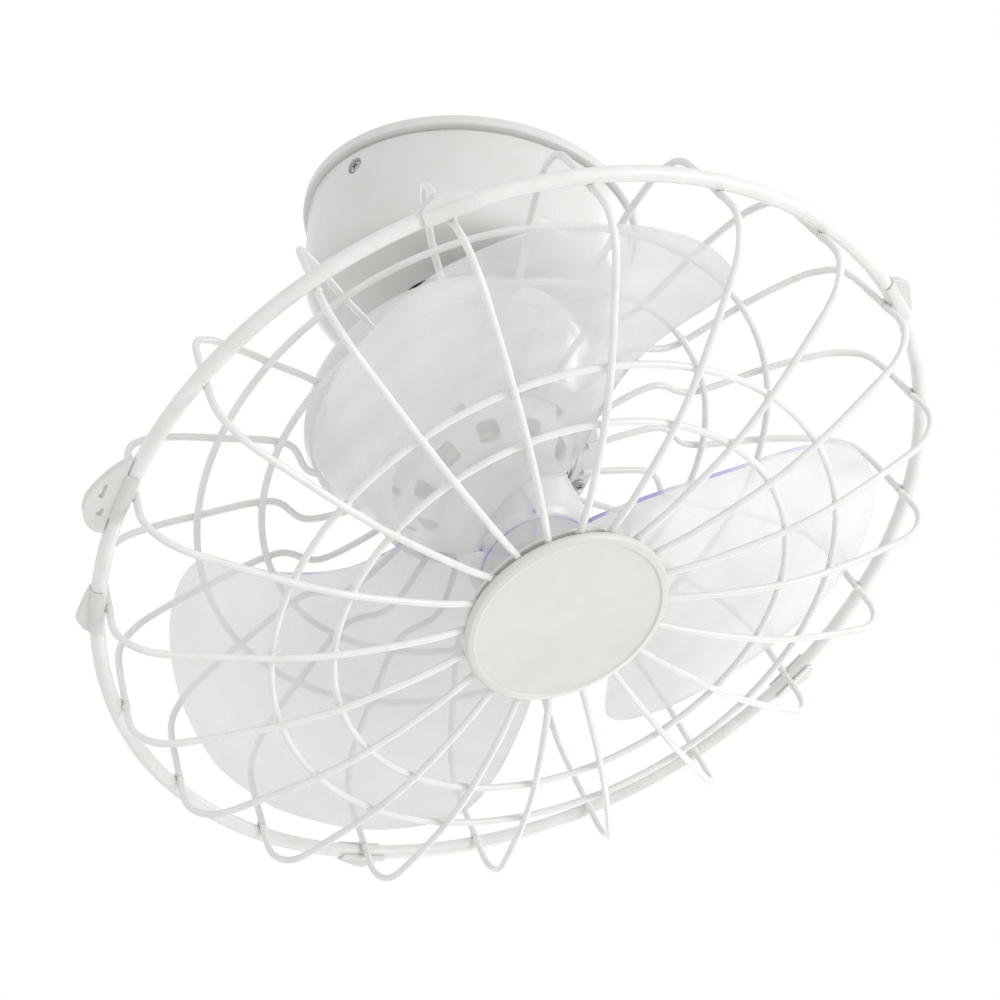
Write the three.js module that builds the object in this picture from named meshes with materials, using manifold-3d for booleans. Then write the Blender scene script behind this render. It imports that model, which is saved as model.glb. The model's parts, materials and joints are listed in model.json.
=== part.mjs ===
// Orbital ceiling fan: a bowl-shaped ceiling cup with a slow gearmotor turns a bent crank, and the fan head
// hangs tilted on the crank's pin, so the head swings round in a circle while its blades spin.
// Millimetres, +Z up. The origin is the centre of the mounting plate's top face, on the ceiling.
import * as THREE from "three";
import { mergeVertices } from "three/addons/utils/BufferGeometryUtils.js";
import Module from "manifold-3d";

const wasm = await Module();
wasm.setup();

// ---------- Driving dimensions ----------
const CLEARANCE = 0.3; // between pieces that touch, and round every shaft
const WALL = 2.3; // moulded covers

// Orbit: the head's axis meets the vertical axis at the pivot.
const PIVOT_DROP = 131;
const TILT = THREE.MathUtils.degToRad(29.3);
const TILT_AZIMUTH = THREE.MathUtils.degToRad(55);

// Ceiling cup
const CUP_TOP_RADIUS = 95;
const CUP_LOW_RADIUS = CUP_TOP_RADIUS - 3;
const RIM_RADIUS = CUP_TOP_RADIUS + 3.5;
const RIM_HEIGHT = 5.5;
const GROOVE_DEPTH = 6;
const GROOVE_HEIGHT = 2;
const CUP_DEPTH = 64;
const CUP_CORNER = 15;
const CUP_MOUTH_RADIUS = 36;
const CUP_SCREW_ANGLES = [225, 345, 105];
const CUP_SCREW_DROP = 17;

// Mounting plate and bracket
const PLATE_THICKNESS = 2;
const PLATE_RADIUS = CUP_LOW_RADIUS - WALL - 2;
const KEYHOLE_SPACING = 110;
const CABLE_HOLE_RADIUS = 11;
const CABLE_HOLE_OFFSET = PLATE_RADIUS / 2 + 18;
const BRACKET_SHEET = 2.5;
const BRACKET_WIDTH = 44;
const BRACKET_SPAN = 84;
const BRACKET_DROP = 33; // underside of its web
const BRACKET_FOOT = 16;
const CAPACITOR = { length: 40, width: 20, height: 22, inFromEdge: 30 };
const TERMINALS = { length: 34, width: 14, height: 12, inFromEdge: 34 };

// Orbit gearmotor and crank
const GEARMOTOR_RADIUS = 24.5;
const GEARMOTOR_HEIGHT = 20;
const GEARMOTOR_SHAFT_RADIUS = 3.5;
const CRANK_RADIUS = 6;
const CRANK_TOP_DROP = BRACKET_DROP + 1.5;
const BALL_BEARING_RADIUS = 14;
const BALL_BEARING_WIDTH = 8;
const BALL_BEARING_DROP = 39;
const KNUCKLE_RADIUS = 11;
const PIN_RADIUS = 8;
const PIN_LENGTH = 31;
const COLLAR_WIDTH = 3.7;

// Fan head, along its own axis from the pivot
const RING_PLANE = 117; // plane of the guard's thick ring
const HOUSING_SEAM = 9;
const HEAD_OPENING_RADIUS = 31;
// Outline of the motor housing: radius and height from the ring plane.
const HOUSING_OUTLINE = [
  [HEAD_OPENING_RADIUS, -151],
  [52, -148],
  [71, -140.5],
  [82.5, -131],
  [86, -121],
  [84.5, -112],
  [80, -105],
  [64.5, -80],
  [47.5, -57],
  [35, -40],
  [20, -36],
];
const HUB_PLATE_FROM = 13.5;
const HUB_PLATE_THICKNESS = 4;
const HUB_BOSS_RADIUS = 18;
const HUB_BOSS_END = PIN_LENGTH - 1 - COLLAR_WIDTH - CLEARANCE;
const HUB_SCREW_CIRCLE = 60;
const REAR_BOSS_FROM = -28; // inside the sloping back wall of the drum
const BUSH_WALL = 3.7;
const HOUSING_FACETS = 24;
const VENT_COUNT = 10;
const VENT_INNER = { circle: 40.5, length: 7.5, width: 7.5, first: 6 };
const VENT_OUTER = { circle: 51.5, length: 5, width: 6, first: 18 };

// Motor
const SHAFT_RADIUS = 4;
const MOTOR_BEARING_RADIUS = 9;
const MOTOR_BEARING_WIDTH = 7.5;
const END_PLATE_FROM = 33;
const END_PLATE_THICKNESS = 3;
const STATOR_FROM = 43;
const STATOR_LENGTH = 18;
const STATOR_RADIUS = 43.5;
const MOTOR_FRAME_RADIUS = STATOR_RADIUS + CLEARANCE + 3.2;
const MOTOR_FRAME_RIM = STATOR_FROM + 8;
const MOTOR_POST_ANGLE = 60;
const STATOR_BORE = 20.5;
const SLOT_COUNT = 6;
const SLOT_CIRCLE = 30;
const SLOT_RADIUS = 4;
const WINDING_OVERHANG = 5;
const AIR_GAP = 0.7;

// Blades, heights from the ring plane
const BLADE_COUNT = 3;
const BLADE_FIRST_ANGLE = 26;
const BLADE_THICKNESS = 2.2;
const HUB_CUP_RADIUS = 33;
const HUB_CUP_BACK = -32;
const HUB_CUP_FRONT = 14;
const NUT_RADIUS = 15;
const NUT_HEIGHT = 14;
// The blade's sheet: radius, angle and height of its leading edge, angle and height of its trailing edge.
const BLADE_SHEET = [
  [HUB_CUP_RADIUS - 1.5, -52, -20, 64, 12],
  [60, -40, -15, 61, 20],
  [90, -32, -12, 56, 25],
  [112, -33, -13, 52, 27],
  [136, -36, -13, 49.5, 27],
  [160, -41, -13, 46.5, 27],
  [176, -43, -13, 43, 26],
];
// Its rounded tip, trimmed out of the sheet's last row: radius, leading angle, trailing angle.
const BLADE_TIP = [
  [187, -38, 36],
  [195, -28, 30],
  [201, -14, 22],
  [204.5, -2, 13],
];
const BLADE_STEPS = 5;
const BLADE_CAMBER = 4;

// Wire guard, heights from the ring plane
const WIRE_COUNT = 20;
const WIRE_RADIUS = 1.9;
const WIRE_FIRST_ANGLE = 11.5;
const GUARD_RADIUS = 230;
const GUARD_RING_TUBE = 4;
const GUARD_RING_SIDES = 6;
const HOOP_FACETS = 40;
const WIRE_SINK = 0.6; // how deep a spoke is welded into the hoop at its inner end
// Half the thickness of a four-sided wire, and the inner edge of the thick ring beside a wire.
const WIRE_HALF = WIRE_RADIUS * Math.SQRT1_2;
const RING_INSIDE =
  GUARD_RADIUS * Math.cos(Math.PI / HOOP_FACETS) - GUARD_RING_TUBE * Math.cos(Math.PI / GUARD_RING_SIDES);
const WIRE_END = RING_INSIDE - WIRE_HALF - CLEARANCE;
// How far inside the guard's radius each spoke bends on its way over the edge.
const SHOULDER_INSET = 40;
const FRONT_TURN_INSET = 16;
const FRONT_LIP_INSET = 4.5;
const REAR_SLOPE_INSET = 67;
const REAR_TURN_INSET = 23;
const REAR_LIP_INSET = 11;
const REAR_HOOP_INSET = 66;
// One point of a spoke: radius, height and, behind, its swing round the axis in degrees.
const FRONT_WIRE = [
  [49, 53.5],
  [80, 58],
  [124, 58.5],
  [155, 54],
  [GUARD_RADIUS - SHOULDER_INSET, 44.5],
  [GUARD_RADIUS - FRONT_TURN_INSET, 35.5],
  [GUARD_RADIUS - FRONT_LIP_INSET, 20],
  [WIRE_END, 0.2],
];
const REAR_WIRE = [
  [59, -61.5, 9],
  [101, -61.5, 9],
  [122, -62, 0],
  [GUARD_RADIUS - REAR_SLOPE_INSET, -58.5, 0],
  [GUARD_RADIUS - SHOULDER_INSET, -54, 0],
  [GUARD_RADIUS - REAR_TURN_INSET, -48, 0],
  [GUARD_RADIUS - REAR_LIP_INSET, -35, 0],
  [WIRE_END, -0.2, 0],
];
const FRONT_HOOPS = [124, 155];
const REAR_HOOPS = [128, GUARD_RADIUS - REAR_HOOP_INSET];
const CLIP_COUNT = 5;
const CLIP_RADIUS = GUARD_RADIUS * Math.cos(Math.PI / HOOP_FACETS);
const CLIP_WALL = 2;
const CLIP_LENGTH = 27;
const CLIP_TAB_THICKNESS = 5;
const LATCH_SPOKE = 11;
const LATCH_REACH = 19;
const LATCH_HALF_LENGTH = 23;
// Corners of the windows in its tab: distance from the ring and place along it.
const LATCH_WINDOWS = [
  [[9, 6.5], [12.5, 12], [9, 13.5]],
  [[12, 2.5], [14.5, 2], [13.5, -6], [12, -6]],
];
const GUARD_PLATE_BACK = -64;
const GUARD_PLATE_THICKNESS = 2;
const GUARD_PLATE_WIDTH = 12;
const GUARD_SCREW_COUNT = 4;
const CAP_RADIUS = 56;
const CAP_HEIGHT = 4.2;

const SCREW_RADIUS = 1.9;
const SCREW_HEAD_RADIUS = 4;
const SCREW_HEAD_HEIGHT = 2;

// ---------- Finishes ----------
const finish = (color, roughness, metalness = 0) =>
  new THREE.MeshStandardMaterial({ color, roughness, metalness });
const WHITE_PLASTIC = finish("#dcdcd8", 0.35);
const CAP_PLASTIC = finish("#e2e2de", 0.3);
const CLEAR_PLASTIC = new THREE.MeshStandardMaterial({
  color: "#dfe3e4",
  roughness: 0.2,
  transparent: true,
  opacity: 0.6,
});
const WHITE_WIRE = finish("#e8e9e1", 0.4, 0.1);
const STEEL = finish("#a9abad", 0.35, 0.9);
const ZINC = finish("#c4c6c4", 0.45, 0.8);
const BRONZE = finish("#9a7b4f", 0.45, 0.8);
const COPPER = finish("#b06a3b", 0.4, 0.8);
const DARK_PLASTIC = finish("#3c3d40", 0.5);

// ---------- Helpers ----------
const radians = THREE.MathUtils.degToRad;

// Position-only geometry with shared vertices, no collapsed faces, and faces pointing out.
function tidy(geometry) {
  geometry.deleteAttribute("normal");
  geometry.deleteAttribute("uv");
  const merged = mergeVertices(geometry, 1e-4);
  const index = merged.index.array;
  const at = merged.attributes.position;
  const corner = [0, 1, 2].map(() => new THREE.Vector3());
  const kept = [];
  let volume = 0;
  for (let i = 0; i < index.length; i += 3) {
    const [a, b, c] = index.subarray(i, i + 3);
    if (a === b || b === c || a === c) continue;
    [a, b, c].forEach((v, n) => corner[n].fromBufferAttribute(at, v));
    volume += corner[0].dot(corner[1].cross(corner[2]));
    kept.push(a, b, c);
  }
  if (volume < 0) kept.reverse();
  merged.setIndex(kept);
  return merged;
}

function toSolid(geometry) {
  const ready = tidy(geometry);
  return new wasm.Manifold(
    new wasm.Mesh({
      numProp: 3,
      vertProperties: ready.attributes.position.array,
      triVerts: new Uint32Array(ready.index.array),
    }),
  );
}

function fromSolid(solid) {
  const mesh = solid.getMesh();
  return new THREE.BufferGeometry()
    .setAttribute("position", new THREE.BufferAttribute(mesh.vertProperties, 3))
    .setIndex(new THREE.BufferAttribute(mesh.triVerts, 1));
}

function join(...geometries) {
  return fromSolid(geometries.map(toSolid).reduce((all, next) => all.add(next)));
}

function cut(body, ...tools) {
  return fromSolid(tools.map(toSolid).reduce((rest, tool) => rest.subtract(tool), toSolid(body)));
}

// A profile of [radius, height] points turned round the Z axis.
function turned(profile, facets = 30) {
  const points = profile.map(([radius, height]) => new THREE.Vector2(radius, height));
  return tidy(new THREE.LatheGeometry(points, facets).rotateX(Math.PI / 2));
}

// A closed profile that stays clear of the axis.
function turnedRing(profile, facets) {
  return turned([...profile, profile[0]], facets);
}

function tube(outer, inner, from, to, facets = 20) {
  const section = [
    [inner, from],
    [outer, from],
    [outer, to],
    [inner, to],
  ];
  return turnedRing(section, facets);
}

function rod(radius, from, to, facets = 18) {
  return new THREE.CylinderGeometry(radius, radius, to - from, facets)
    .rotateX(Math.PI / 2)
    .translate(0, 0, (from + to) / 2);
}

function box(width, depth, height, x, y, z) {
  return new THREE.BoxGeometry(width, depth, height).translate(x, y, z);
}

// Height-and-radius outline moved inwards by a wall, for the inside of a turned cover.
function inset(outline, wall) {
  return outline.map(([radius, height], i) => {
    const [r0, z0] = outline[Math.max(i - 1, 0)];
    const [r1, z1] = outline[Math.min(i + 1, outline.length - 1)];
    const along = new THREE.Vector2(r1 - r0, z1 - z0).normalize();
    return [radius - along.y * wall, height + along.x * wall];
  });
}

// A tube swept through [x, y, z] points, with a mitred ring of corners at each point.
function wire(points, radius, sides = 4) {
  const path = points.map((p) => new THREE.Vector3(...p));
  const up = new THREE.Vector3();
  const positions = [];
  const index = [];
  path.forEach((point, i) => {
    const before = path[Math.max(i - 1, 0)];
    const after = path[Math.min(i + 1, path.length - 1)];
    const inwards = point.clone().sub(before).normalize();
    const outwards = after.clone().sub(point).normalize();
    const along = inwards.clone().add(outwards).normalize();
    const flat = new THREE.Vector3(-point.y, point.x, 0).projectOnPlane(along).normalize();
    up.crossVectors(along, flat).normalize();
    const stretch = 1 / Math.max(0.5, along.dot(i ? inwards : outwards));
    for (let s = 0; s < sides; s++) {
      const turn = (2 * Math.PI * (s + 0.5)) / sides;
      const corner = point
        .clone()
        .addScaledVector(flat, radius * Math.cos(turn))
        .addScaledVector(up, radius * stretch * Math.sin(turn));
      positions.push(corner.x, corner.y, corner.z);
    }
  });
  for (let i = 0; i < path.length - 1; i++)
    for (let s = 0; s < sides; s++) {
      const a = i * sides + s;
      const b = i * sides + ((s + 1) % sides);
      index.push(a, b, a + sides, b, b + sides, a + sides);
    }
  const last = (path.length - 1) * sides;
  for (let s = 1; s < sides - 1; s++) index.push(0, s + 1, s, last, last + s, last + s + 1);
  return new THREE.BufferGeometry()
    .setAttribute("position", new THREE.Float32BufferAttribute(positions, 3))
    .setIndex(index);
}

// A ring of wire whose straight facets are centred on the spokes.
function hoop(circle, height, tubeRadius = WIRE_RADIUS, sides = 4) {
  const section = [];
  for (let s = 0; s < sides; s++) {
    const turn = (2 * Math.PI * (s + 0.5)) / sides;
    section.push([circle + tubeRadius * Math.cos(turn), height + tubeRadius * Math.sin(turn)]);
  }
  return turnedRing(section, HOOP_FACETS).rotateZ(radians(WIRE_FIRST_ANGLE + 180 / HOOP_FACETS));
}

// Height of an outline of [radius, height] points at a radius, for outlines whose radius only grows.
function heightAt(outline, radius) {
  const i = outline.findIndex(([r]) => r >= radius);
  const [r0, z0] = outline[i - 1];
  const [r1, z1] = outline[i];
  return z0 + ((z1 - z0) * (radius - r0)) / (r1 - r0);
}

function around(count, first, make) {
  return Array.from({ length: count }, (_, i) => make(radians(first + (360 * i) / count), i));
}

function screw(length, head = SCREW_HEAD_RADIUS) {
  return join(rod(head, 0, SCREW_HEAD_HEIGHT, 10), rod(SCREW_RADIUS, -length, 0.5, 8));
}

function piece(name, geometry, material) {
  const mesh = new THREE.Mesh(geometry, material);
  mesh.name = name;
  return mesh;
}

// ---------- Ceiling cup and what it covers ----------
function ceilingCup() {
  const corner = (radius, height, size) =>
    [0, 45, 90].map((step) => [
      radius - size + size * Math.cos(radians(step)),
      height + size - size * Math.sin(radians(step)),
    ]);
  const grooveRadius = RIM_RADIUS - GROOVE_DEPTH;
  const shell = turnedRing(
    [
      [RIM_RADIUS, 0],
      [grooveRadius - WALL, 0],
      [grooveRadius - WALL, -RIM_HEIGHT - GROOVE_HEIGHT],
      ...corner(CUP_LOW_RADIUS - WALL, -CUP_DEPTH + WALL, CUP_CORNER - WALL),
      [CUP_MOUTH_RADIUS, -CUP_DEPTH + WALL],
      [CUP_MOUTH_RADIUS, -CUP_DEPTH],
      ...corner(CUP_LOW_RADIUS, -CUP_DEPTH, CUP_CORNER).reverse(),
      [CUP_TOP_RADIUS, -RIM_HEIGHT - GROOVE_HEIGHT],
      [grooveRadius, -RIM_HEIGHT - GROOVE_HEIGHT],
      [grooveRadius, -RIM_HEIGHT],
      [RIM_RADIUS, -RIM_HEIGHT],
    ],
    32,
  );
  const holes = CUP_SCREW_ANGLES.flatMap((angle) => [
    radialRod(SCREW_HEAD_RADIUS + 1, screwSeat(), CUP_TOP_RADIUS + 5, angle, 10),
    radialRod(SCREW_RADIUS + CLEARANCE, PLATE_RADIUS - 10, CUP_TOP_RADIUS, angle, 10),
  ]);
  return cut(shell, ...holes);
}

// Radius of the floor of the recess that a cup screw's head sits in.
function screwSeat() {
  return RIM_RADIUS - GROOVE_DEPTH - 0.6;
}

function radialRod(radius, from, to, angle, facets) {
  return rod(radius, from, to, facets)
    .rotateY(Math.PI / 2)
    .rotateZ(radians(angle))
    .translate(0, 0, -CUP_SCREW_DROP);
}

function cupScrew(angle) {
  const length = screwSeat() + CLEARANCE - (PLATE_RADIUS - 6);
  return screw(length)
    .translate(0, 0, screwSeat() + CLEARANCE)
    .rotateY(Math.PI / 2)
    .rotateZ(radians(angle))
    .translate(0, 0, -CUP_SCREW_DROP);
}

function mountingPlate() {
  const tabs = CUP_SCREW_ANGLES.map((angle) =>
    box(2.5, 18, CUP_SCREW_DROP + 8, PLATE_RADIUS - 2, 0, -(CUP_SCREW_DROP + 8) / 2).rotateZ(radians(angle)),
  );
  const keyholes = [-1, 1].flatMap((side) => [
    rod(4.5, -PLATE_THICKNESS - 1, 1, 12).translate(0, (side * KEYHOLE_SPACING) / 2, 0),
    box(12, 5, PLATE_THICKNESS + 2, 6, (side * KEYHOLE_SPACING) / 2, -PLATE_THICKNESS / 2),
  ]);
  const cableHole = rod(CABLE_HOLE_RADIUS, -PLATE_THICKNESS - 1, 1, 16).translate(-CABLE_HOLE_OFFSET, 0, 0);
  const screwHoles = CUP_SCREW_ANGLES.map((angle) =>
    radialRod(SCREW_RADIUS + CLEARANCE, PLATE_RADIUS - 12, PLATE_RADIUS + 4, angle, 10),
  );
  const plate = join(rod(PLATE_RADIUS, -PLATE_THICKNESS, 0, 32), ...tabs);
  return cut(plate, ...keyholes, cableHole, ...screwHoles);
}

// A block against the plate's underside, on the +Y or -Y side.
function underPlate({ length, width, height, inFromEdge }, side) {
  const top = -PLATE_THICKNESS - CLEARANCE;
  return box(length, width, height, 0, side * (PLATE_RADIUS - inFromEdge), top - height / 2);
}

function supportBracket() {
  const half = BRACKET_SPAN / 2;
  const top = -PLATE_THICKNESS - CLEARANCE;
  const sheet = new THREE.Shape(
    [
      [-half - BRACKET_FOOT, top],
      [-half, top],
      [-half + BRACKET_SHEET, top],
      [-half + BRACKET_SHEET, -BRACKET_DROP + BRACKET_SHEET],
      [half - BRACKET_SHEET, -BRACKET_DROP + BRACKET_SHEET],
      [half - BRACKET_SHEET, top],
      [half + BRACKET_FOOT, top],
      [half + BRACKET_FOOT, top - BRACKET_SHEET],
      [half, top - BRACKET_SHEET],
      [half, -BRACKET_DROP],
      [-half, -BRACKET_DROP],
      [-half, top - BRACKET_SHEET],
      [-half - BRACKET_FOOT, top - BRACKET_SHEET],
    ].map(([x, z]) => new THREE.Vector2(x, z)),
  );
  const strip = new THREE.ExtrudeGeometry(sheet, { depth: BRACKET_WIDTH, bevelEnabled: false })
    .rotateX(Math.PI / 2)
    .translate(0, BRACKET_WIDTH / 2, 0);
  const bearingEnd = -BALL_BEARING_DROP - BALL_BEARING_WIDTH - CLEARANCE;
  const boss = turnedRing(
    [
      [BALL_BEARING_RADIUS + 3, -BRACKET_DROP + 1],
      [BALL_BEARING_RADIUS + CLEARANCE, -BRACKET_DROP + 1],
      [BALL_BEARING_RADIUS + CLEARANCE, bearingEnd],
      [BALL_BEARING_RADIUS - 2.5, bearingEnd],
      [BALL_BEARING_RADIUS - 2.5, bearingEnd - 2.5],
      [BALL_BEARING_RADIUS + 3, bearingEnd - 2.5],
    ],
    24,
  );
  const shaftHole = rod(GEARMOTOR_SHAFT_RADIUS + 1.5, -BRACKET_DROP - 1, 0, 16);
  return cut(join(strip, boss), shaftHole);
}

function orbitMotor() {
  const bottom = -BRACKET_DROP + BRACKET_SHEET + CLEARANCE;
  const can = turned(
    [
      [0, bottom],
      [GEARMOTOR_RADIUS, bottom],
      [GEARMOTOR_RADIUS, bottom + GEARMOTOR_HEIGHT - 1.5],
      [GEARMOTOR_RADIUS - 1.5, bottom + GEARMOTOR_HEIGHT],
      [0, bottom + GEARMOTOR_HEIGHT],
    ],
    28,
  );
  const ears = box(2 * GEARMOTOR_RADIUS + 16, 13, 1.2, 0, 0, bottom + 0.6);
  const socket = rod(GEARMOTOR_SHAFT_RADIUS + CLEARANCE, bottom - 1, bottom + 8, 16);
  return cut(join(can, ears), socket);
}

// ---------- Crank ----------
function crankShaft() {
  const upright = rod(CRANK_RADIUS, -PIVOT_DROP, -CRANK_TOP_DROP, 16);
  const knuckle = new THREE.SphereGeometry(KNUCKLE_RADIUS, 12, 8).translate(0, 0, -PIVOT_DROP);
  const pin = inHead(rod(PIN_RADIUS, 0, PIN_LENGTH, 16));
  const socket = rod(GEARMOTOR_SHAFT_RADIUS + CLEARANCE, -CRANK_TOP_DROP - 13, -CRANK_TOP_DROP + 1, 16);
  return cut(join(upright, knuckle, pin), socket);
}

// Moves geometry from the head's own frame, whose +Z is the head's axis, to the ceiling's frame.
function inHead(geometry) {
  return geometry.applyMatrix4(headFrame());
}

function headFrame() {
  const turn = new THREE.Euler(Math.PI - TILT, 0, TILT_AZIMUTH, "ZXY");
  return new THREE.Matrix4().makeRotationFromEuler(turn).setPosition(0, 0, -PIVOT_DROP);
}

// ---------- Motor housing ----------
const housingFromPivot = HOUSING_OUTLINE.map(([radius, height]) => [radius, height + RING_PLANE]);

// Radius of the housing's outside at a height above its widest point.
function housingRadius(height) {
  const i = housingFromPivot.findIndex(([, z], n) => z >= height && n > 0);
  const [r0, z0] = housingFromPivot[i - 1];
  const [r1, z1] = housingFromPivot[i];
  return r0 + ((r1 - r0) * (height - z0)) / (z1 - z0);
}

function coverShell(outline, facets) {
  return turnedRing([...outline, ...inset(outline, WALL).reverse()], facets);
}

function rearHousing() {
  const outline = [
    ...housingFromPivot.filter(([, height]) => height < HOUSING_SEAM - 1),
    [housingRadius(HOUSING_SEAM), HOUSING_SEAM],
  ];
  const bosses = around(3, 0, (angle) =>
    rod(5, REAR_BOSS_FROM, HUB_PLATE_FROM - CLEARANCE, 10)
      .translate(HUB_SCREW_CIRCLE, 0, 0)
      .rotateZ(angle),
  );
  const holes = around(3, 0, (angle) =>
    rod(SCREW_RADIUS + CLEARANCE, 0, HUB_PLATE_FROM + 1, 8)
      .translate(HUB_SCREW_CIRCLE, 0, 0)
      .rotateZ(angle),
  );
  return cut(join(coverShell(outline, HOUSING_FACETS), ...bosses), ...holes);
}

function frontHousing() {
  const start = HOUSING_SEAM + CLEARANCE;
  const nose = housingFromPivot.at(-1)[1];
  const outline = [
    [housingRadius(start), start],
    ...housingFromPivot.filter(([, height]) => height > start + 1),
    [MOTOR_BEARING_RADIUS + CLEARANCE, nose],
  ];
  const bearingSeat = tube(
    MOTOR_BEARING_RADIUS + 3,
    MOTOR_BEARING_RADIUS + CLEARANCE,
    nose - MOTOR_BEARING_WIDTH,
    nose - 0.5,
    18,
  );
  const plateBack = RING_PLANE + GUARD_PLATE_BACK;
  const lugs = guardScrews((angle) =>
    rod(5, plateBack - 17, plateBack - CLEARANCE, 10)
      .translate(guardScrewCircle(), 0, 0)
      .rotateZ(angle),
  );
  const lugHoles = guardScrews((angle) =>
    rod(SCREW_RADIUS + CLEARANCE, plateBack - 9, plateBack + 1, 8)
      .translate(guardScrewCircle(), 0, 0)
      .rotateZ(angle),
  );
  const vent = ({ circle, length, width, first }) =>
    around(VENT_COUNT, first, (angle) => {
      const rise = RING_PLANE + heightOnHousing(circle);
      return box(length, width, 4 * WALL, circle, 0, rise - WALL / 2).rotateZ(angle);
    });
  const shell = join(coverShell(outline, HOUSING_FACETS), bearingSeat, ...lugs);
  return cut(shell, ...lugHoles, ...vent(VENT_INNER), ...vent(VENT_OUTER));
}

// Height, from the ring plane, of the tapering front of the housing at a radius.
function heightOnHousing(radius) {
  const taper = HOUSING_OUTLINE.slice(4).reverse();
  return heightAt(taper, radius);
}

function guardScrewCircle() {
  return guardPlateRadius() + GUARD_PLATE_WIDTH / 2;
}

function guardPlateRadius() {
  return housingRadius(RING_PLANE + GUARD_PLATE_BACK) + 1;
}

function headHub() {
  const bore = PIN_RADIUS + CLEARANCE + BUSH_WALL + CLEARANCE;
  const edge = housingRadius(HUB_PLATE_FROM + HUB_PLATE_THICKNESS) - 2 * WALL;
  const body = turnedRing(
    [
      [bore, HUB_PLATE_FROM],
      [edge, HUB_PLATE_FROM],
      [edge, HUB_PLATE_FROM + HUB_PLATE_THICKNESS],
      [HUB_BOSS_RADIUS + 3, HUB_PLATE_FROM + HUB_PLATE_THICKNESS],
      [HUB_BOSS_RADIUS, HUB_PLATE_FROM + HUB_PLATE_THICKNESS + 3],
      [HUB_BOSS_RADIUS, HUB_BOSS_END],
      [bore, HUB_BOSS_END],
    ],
    26,
  );
  const holes = around(3, 0, (angle) =>
    rod(SCREW_RADIUS + CLEARANCE, HUB_PLATE_FROM - 1, HUB_PLATE_FROM + HUB_PLATE_THICKNESS + 1, 8)
      .translate(HUB_SCREW_CIRCLE, 0, 0)
      .rotateZ(angle),
  );
  return cut(body, ...holes);
}

function hubScrew(angle) {
  return screw(14)
    .translate(HUB_SCREW_CIRCLE, 0, HUB_PLATE_FROM + HUB_PLATE_THICKNESS + CLEARANCE)
    .rotateZ(angle);
}

// ---------- Motor ----------
function slotPlaces(make) {
  return around(SLOT_COUNT, 0, make);
}

// A pressed cup behind the stator, on three posts that stand on the head hub.
function motorFrame() {
  const inner = STATOR_RADIUS + CLEARANCE;
  const seat = MOTOR_BEARING_RADIUS + CLEARANCE;
  const floor = END_PLATE_FROM + END_PLATE_THICKNESS;
  const cup = turnedRing(
    [
      [seat, END_PLATE_FROM],
      [MOTOR_FRAME_RADIUS, END_PLATE_FROM],
      [MOTOR_FRAME_RADIUS, MOTOR_FRAME_RIM],
      [inner, MOTOR_FRAME_RIM],
      [inner, STATOR_FROM - CLEARANCE],
      [inner - 2, STATOR_FROM - CLEARANCE],
      [inner - 2, floor],
      [seat + 3, floor],
      [seat + 3, END_PLATE_FROM + MOTOR_BEARING_WIDTH],
      [seat, END_PLATE_FROM + MOTOR_BEARING_WIDTH],
    ],
    24,
  );
  const posts = around(3, MOTOR_POST_ANGLE, (angle) =>
    rod(4, HUB_PLATE_FROM + HUB_PLATE_THICKNESS + CLEARANCE, END_PLATE_FROM + 1, 8)
      .translate(MOTOR_FRAME_RADIUS - 6, 0, 0)
      .rotateZ(angle),
  );
  return join(cup, ...posts);
}

function statorCore() {
  const slots = slotPlaces((angle) =>
    rod(SLOT_RADIUS, STATOR_FROM - 1, STATOR_FROM + STATOR_LENGTH + 1, 8)
      .translate(SLOT_CIRCLE, 0, 0)
      .rotateZ(angle),
  );
  return cut(tube(STATOR_RADIUS, STATOR_BORE, STATOR_FROM, STATOR_FROM + STATOR_LENGTH, 24), ...slots);
}

function statorWinding() {
  const end = STATOR_FROM + STATOR_LENGTH;
  const inner = STATOR_BORE + 2;
  const outer = SLOT_CIRCLE + SLOT_RADIUS + 2;
  const endTurns = (from, to) =>
    turnedRing(
      [
        [inner, from],
        [outer - 1, from],
        [outer, (from + to) / 2],
        [outer - 1, to],
        [inner, to],
      ],
      20,
    );
  const coils = slotPlaces((angle) =>
    rod(SLOT_RADIUS - CLEARANCE, STATOR_FROM - 2, end + 2, 8)
      .translate(SLOT_CIRCLE, 0, 0)
      .rotateZ(angle),
  );
  return join(
    endTurns(STATOR_FROM - WINDING_OVERHANG, STATOR_FROM - CLEARANCE),
    endTurns(end + CLEARANCE, end + WINDING_OVERHANG),
    ...coils,
  );
}

function motorShaft() {
  const start = PIN_LENGTH + 0.8;
  const end = RING_PLANE + HUB_CUP_FRONT + NUT_HEIGHT - 3;
  const pinHole = rod(1.5 + CLEARANCE, -10, 10, 10)
    .rotateX(Math.PI / 2)
    .translate(0, 0, drivePinHeight());
  return cut(rod(SHAFT_RADIUS, start, end, 18), pinHole);
}

function drivePinHeight() {
  return RING_PLANE + HUB_CUP_BACK + 8;
}

function drivePin() {
  return rod(1.5, -10, 10, 10)
    .rotateX(Math.PI / 2)
    .translate(0, 0, drivePinHeight());
}

// ---------- Blades ----------
// Every row of the blade, each with the angles and heights of the whole sheet at its radius.
function bladeRows() {
  const last = BLADE_SHEET.at(-1);
  const full = BLADE_SHEET.map((sheet) => {
    const [radius, leading, , trailing] = sheet;
    return { radius, leading, trailing, sheet };
  });
  const tip = BLADE_TIP.map(([radius, leading, trailing]) => ({ radius, leading, trailing, sheet: last }));
  return [...full, ...tip];
}

function heightOnSheet([, leading, low, trailing, high], angle) {
  const share = (angle - leading) / (trailing - leading);
  return THREE.MathUtils.lerp(low, high, share) - BLADE_CAMBER * Math.sin(Math.PI * share);
}

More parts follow.
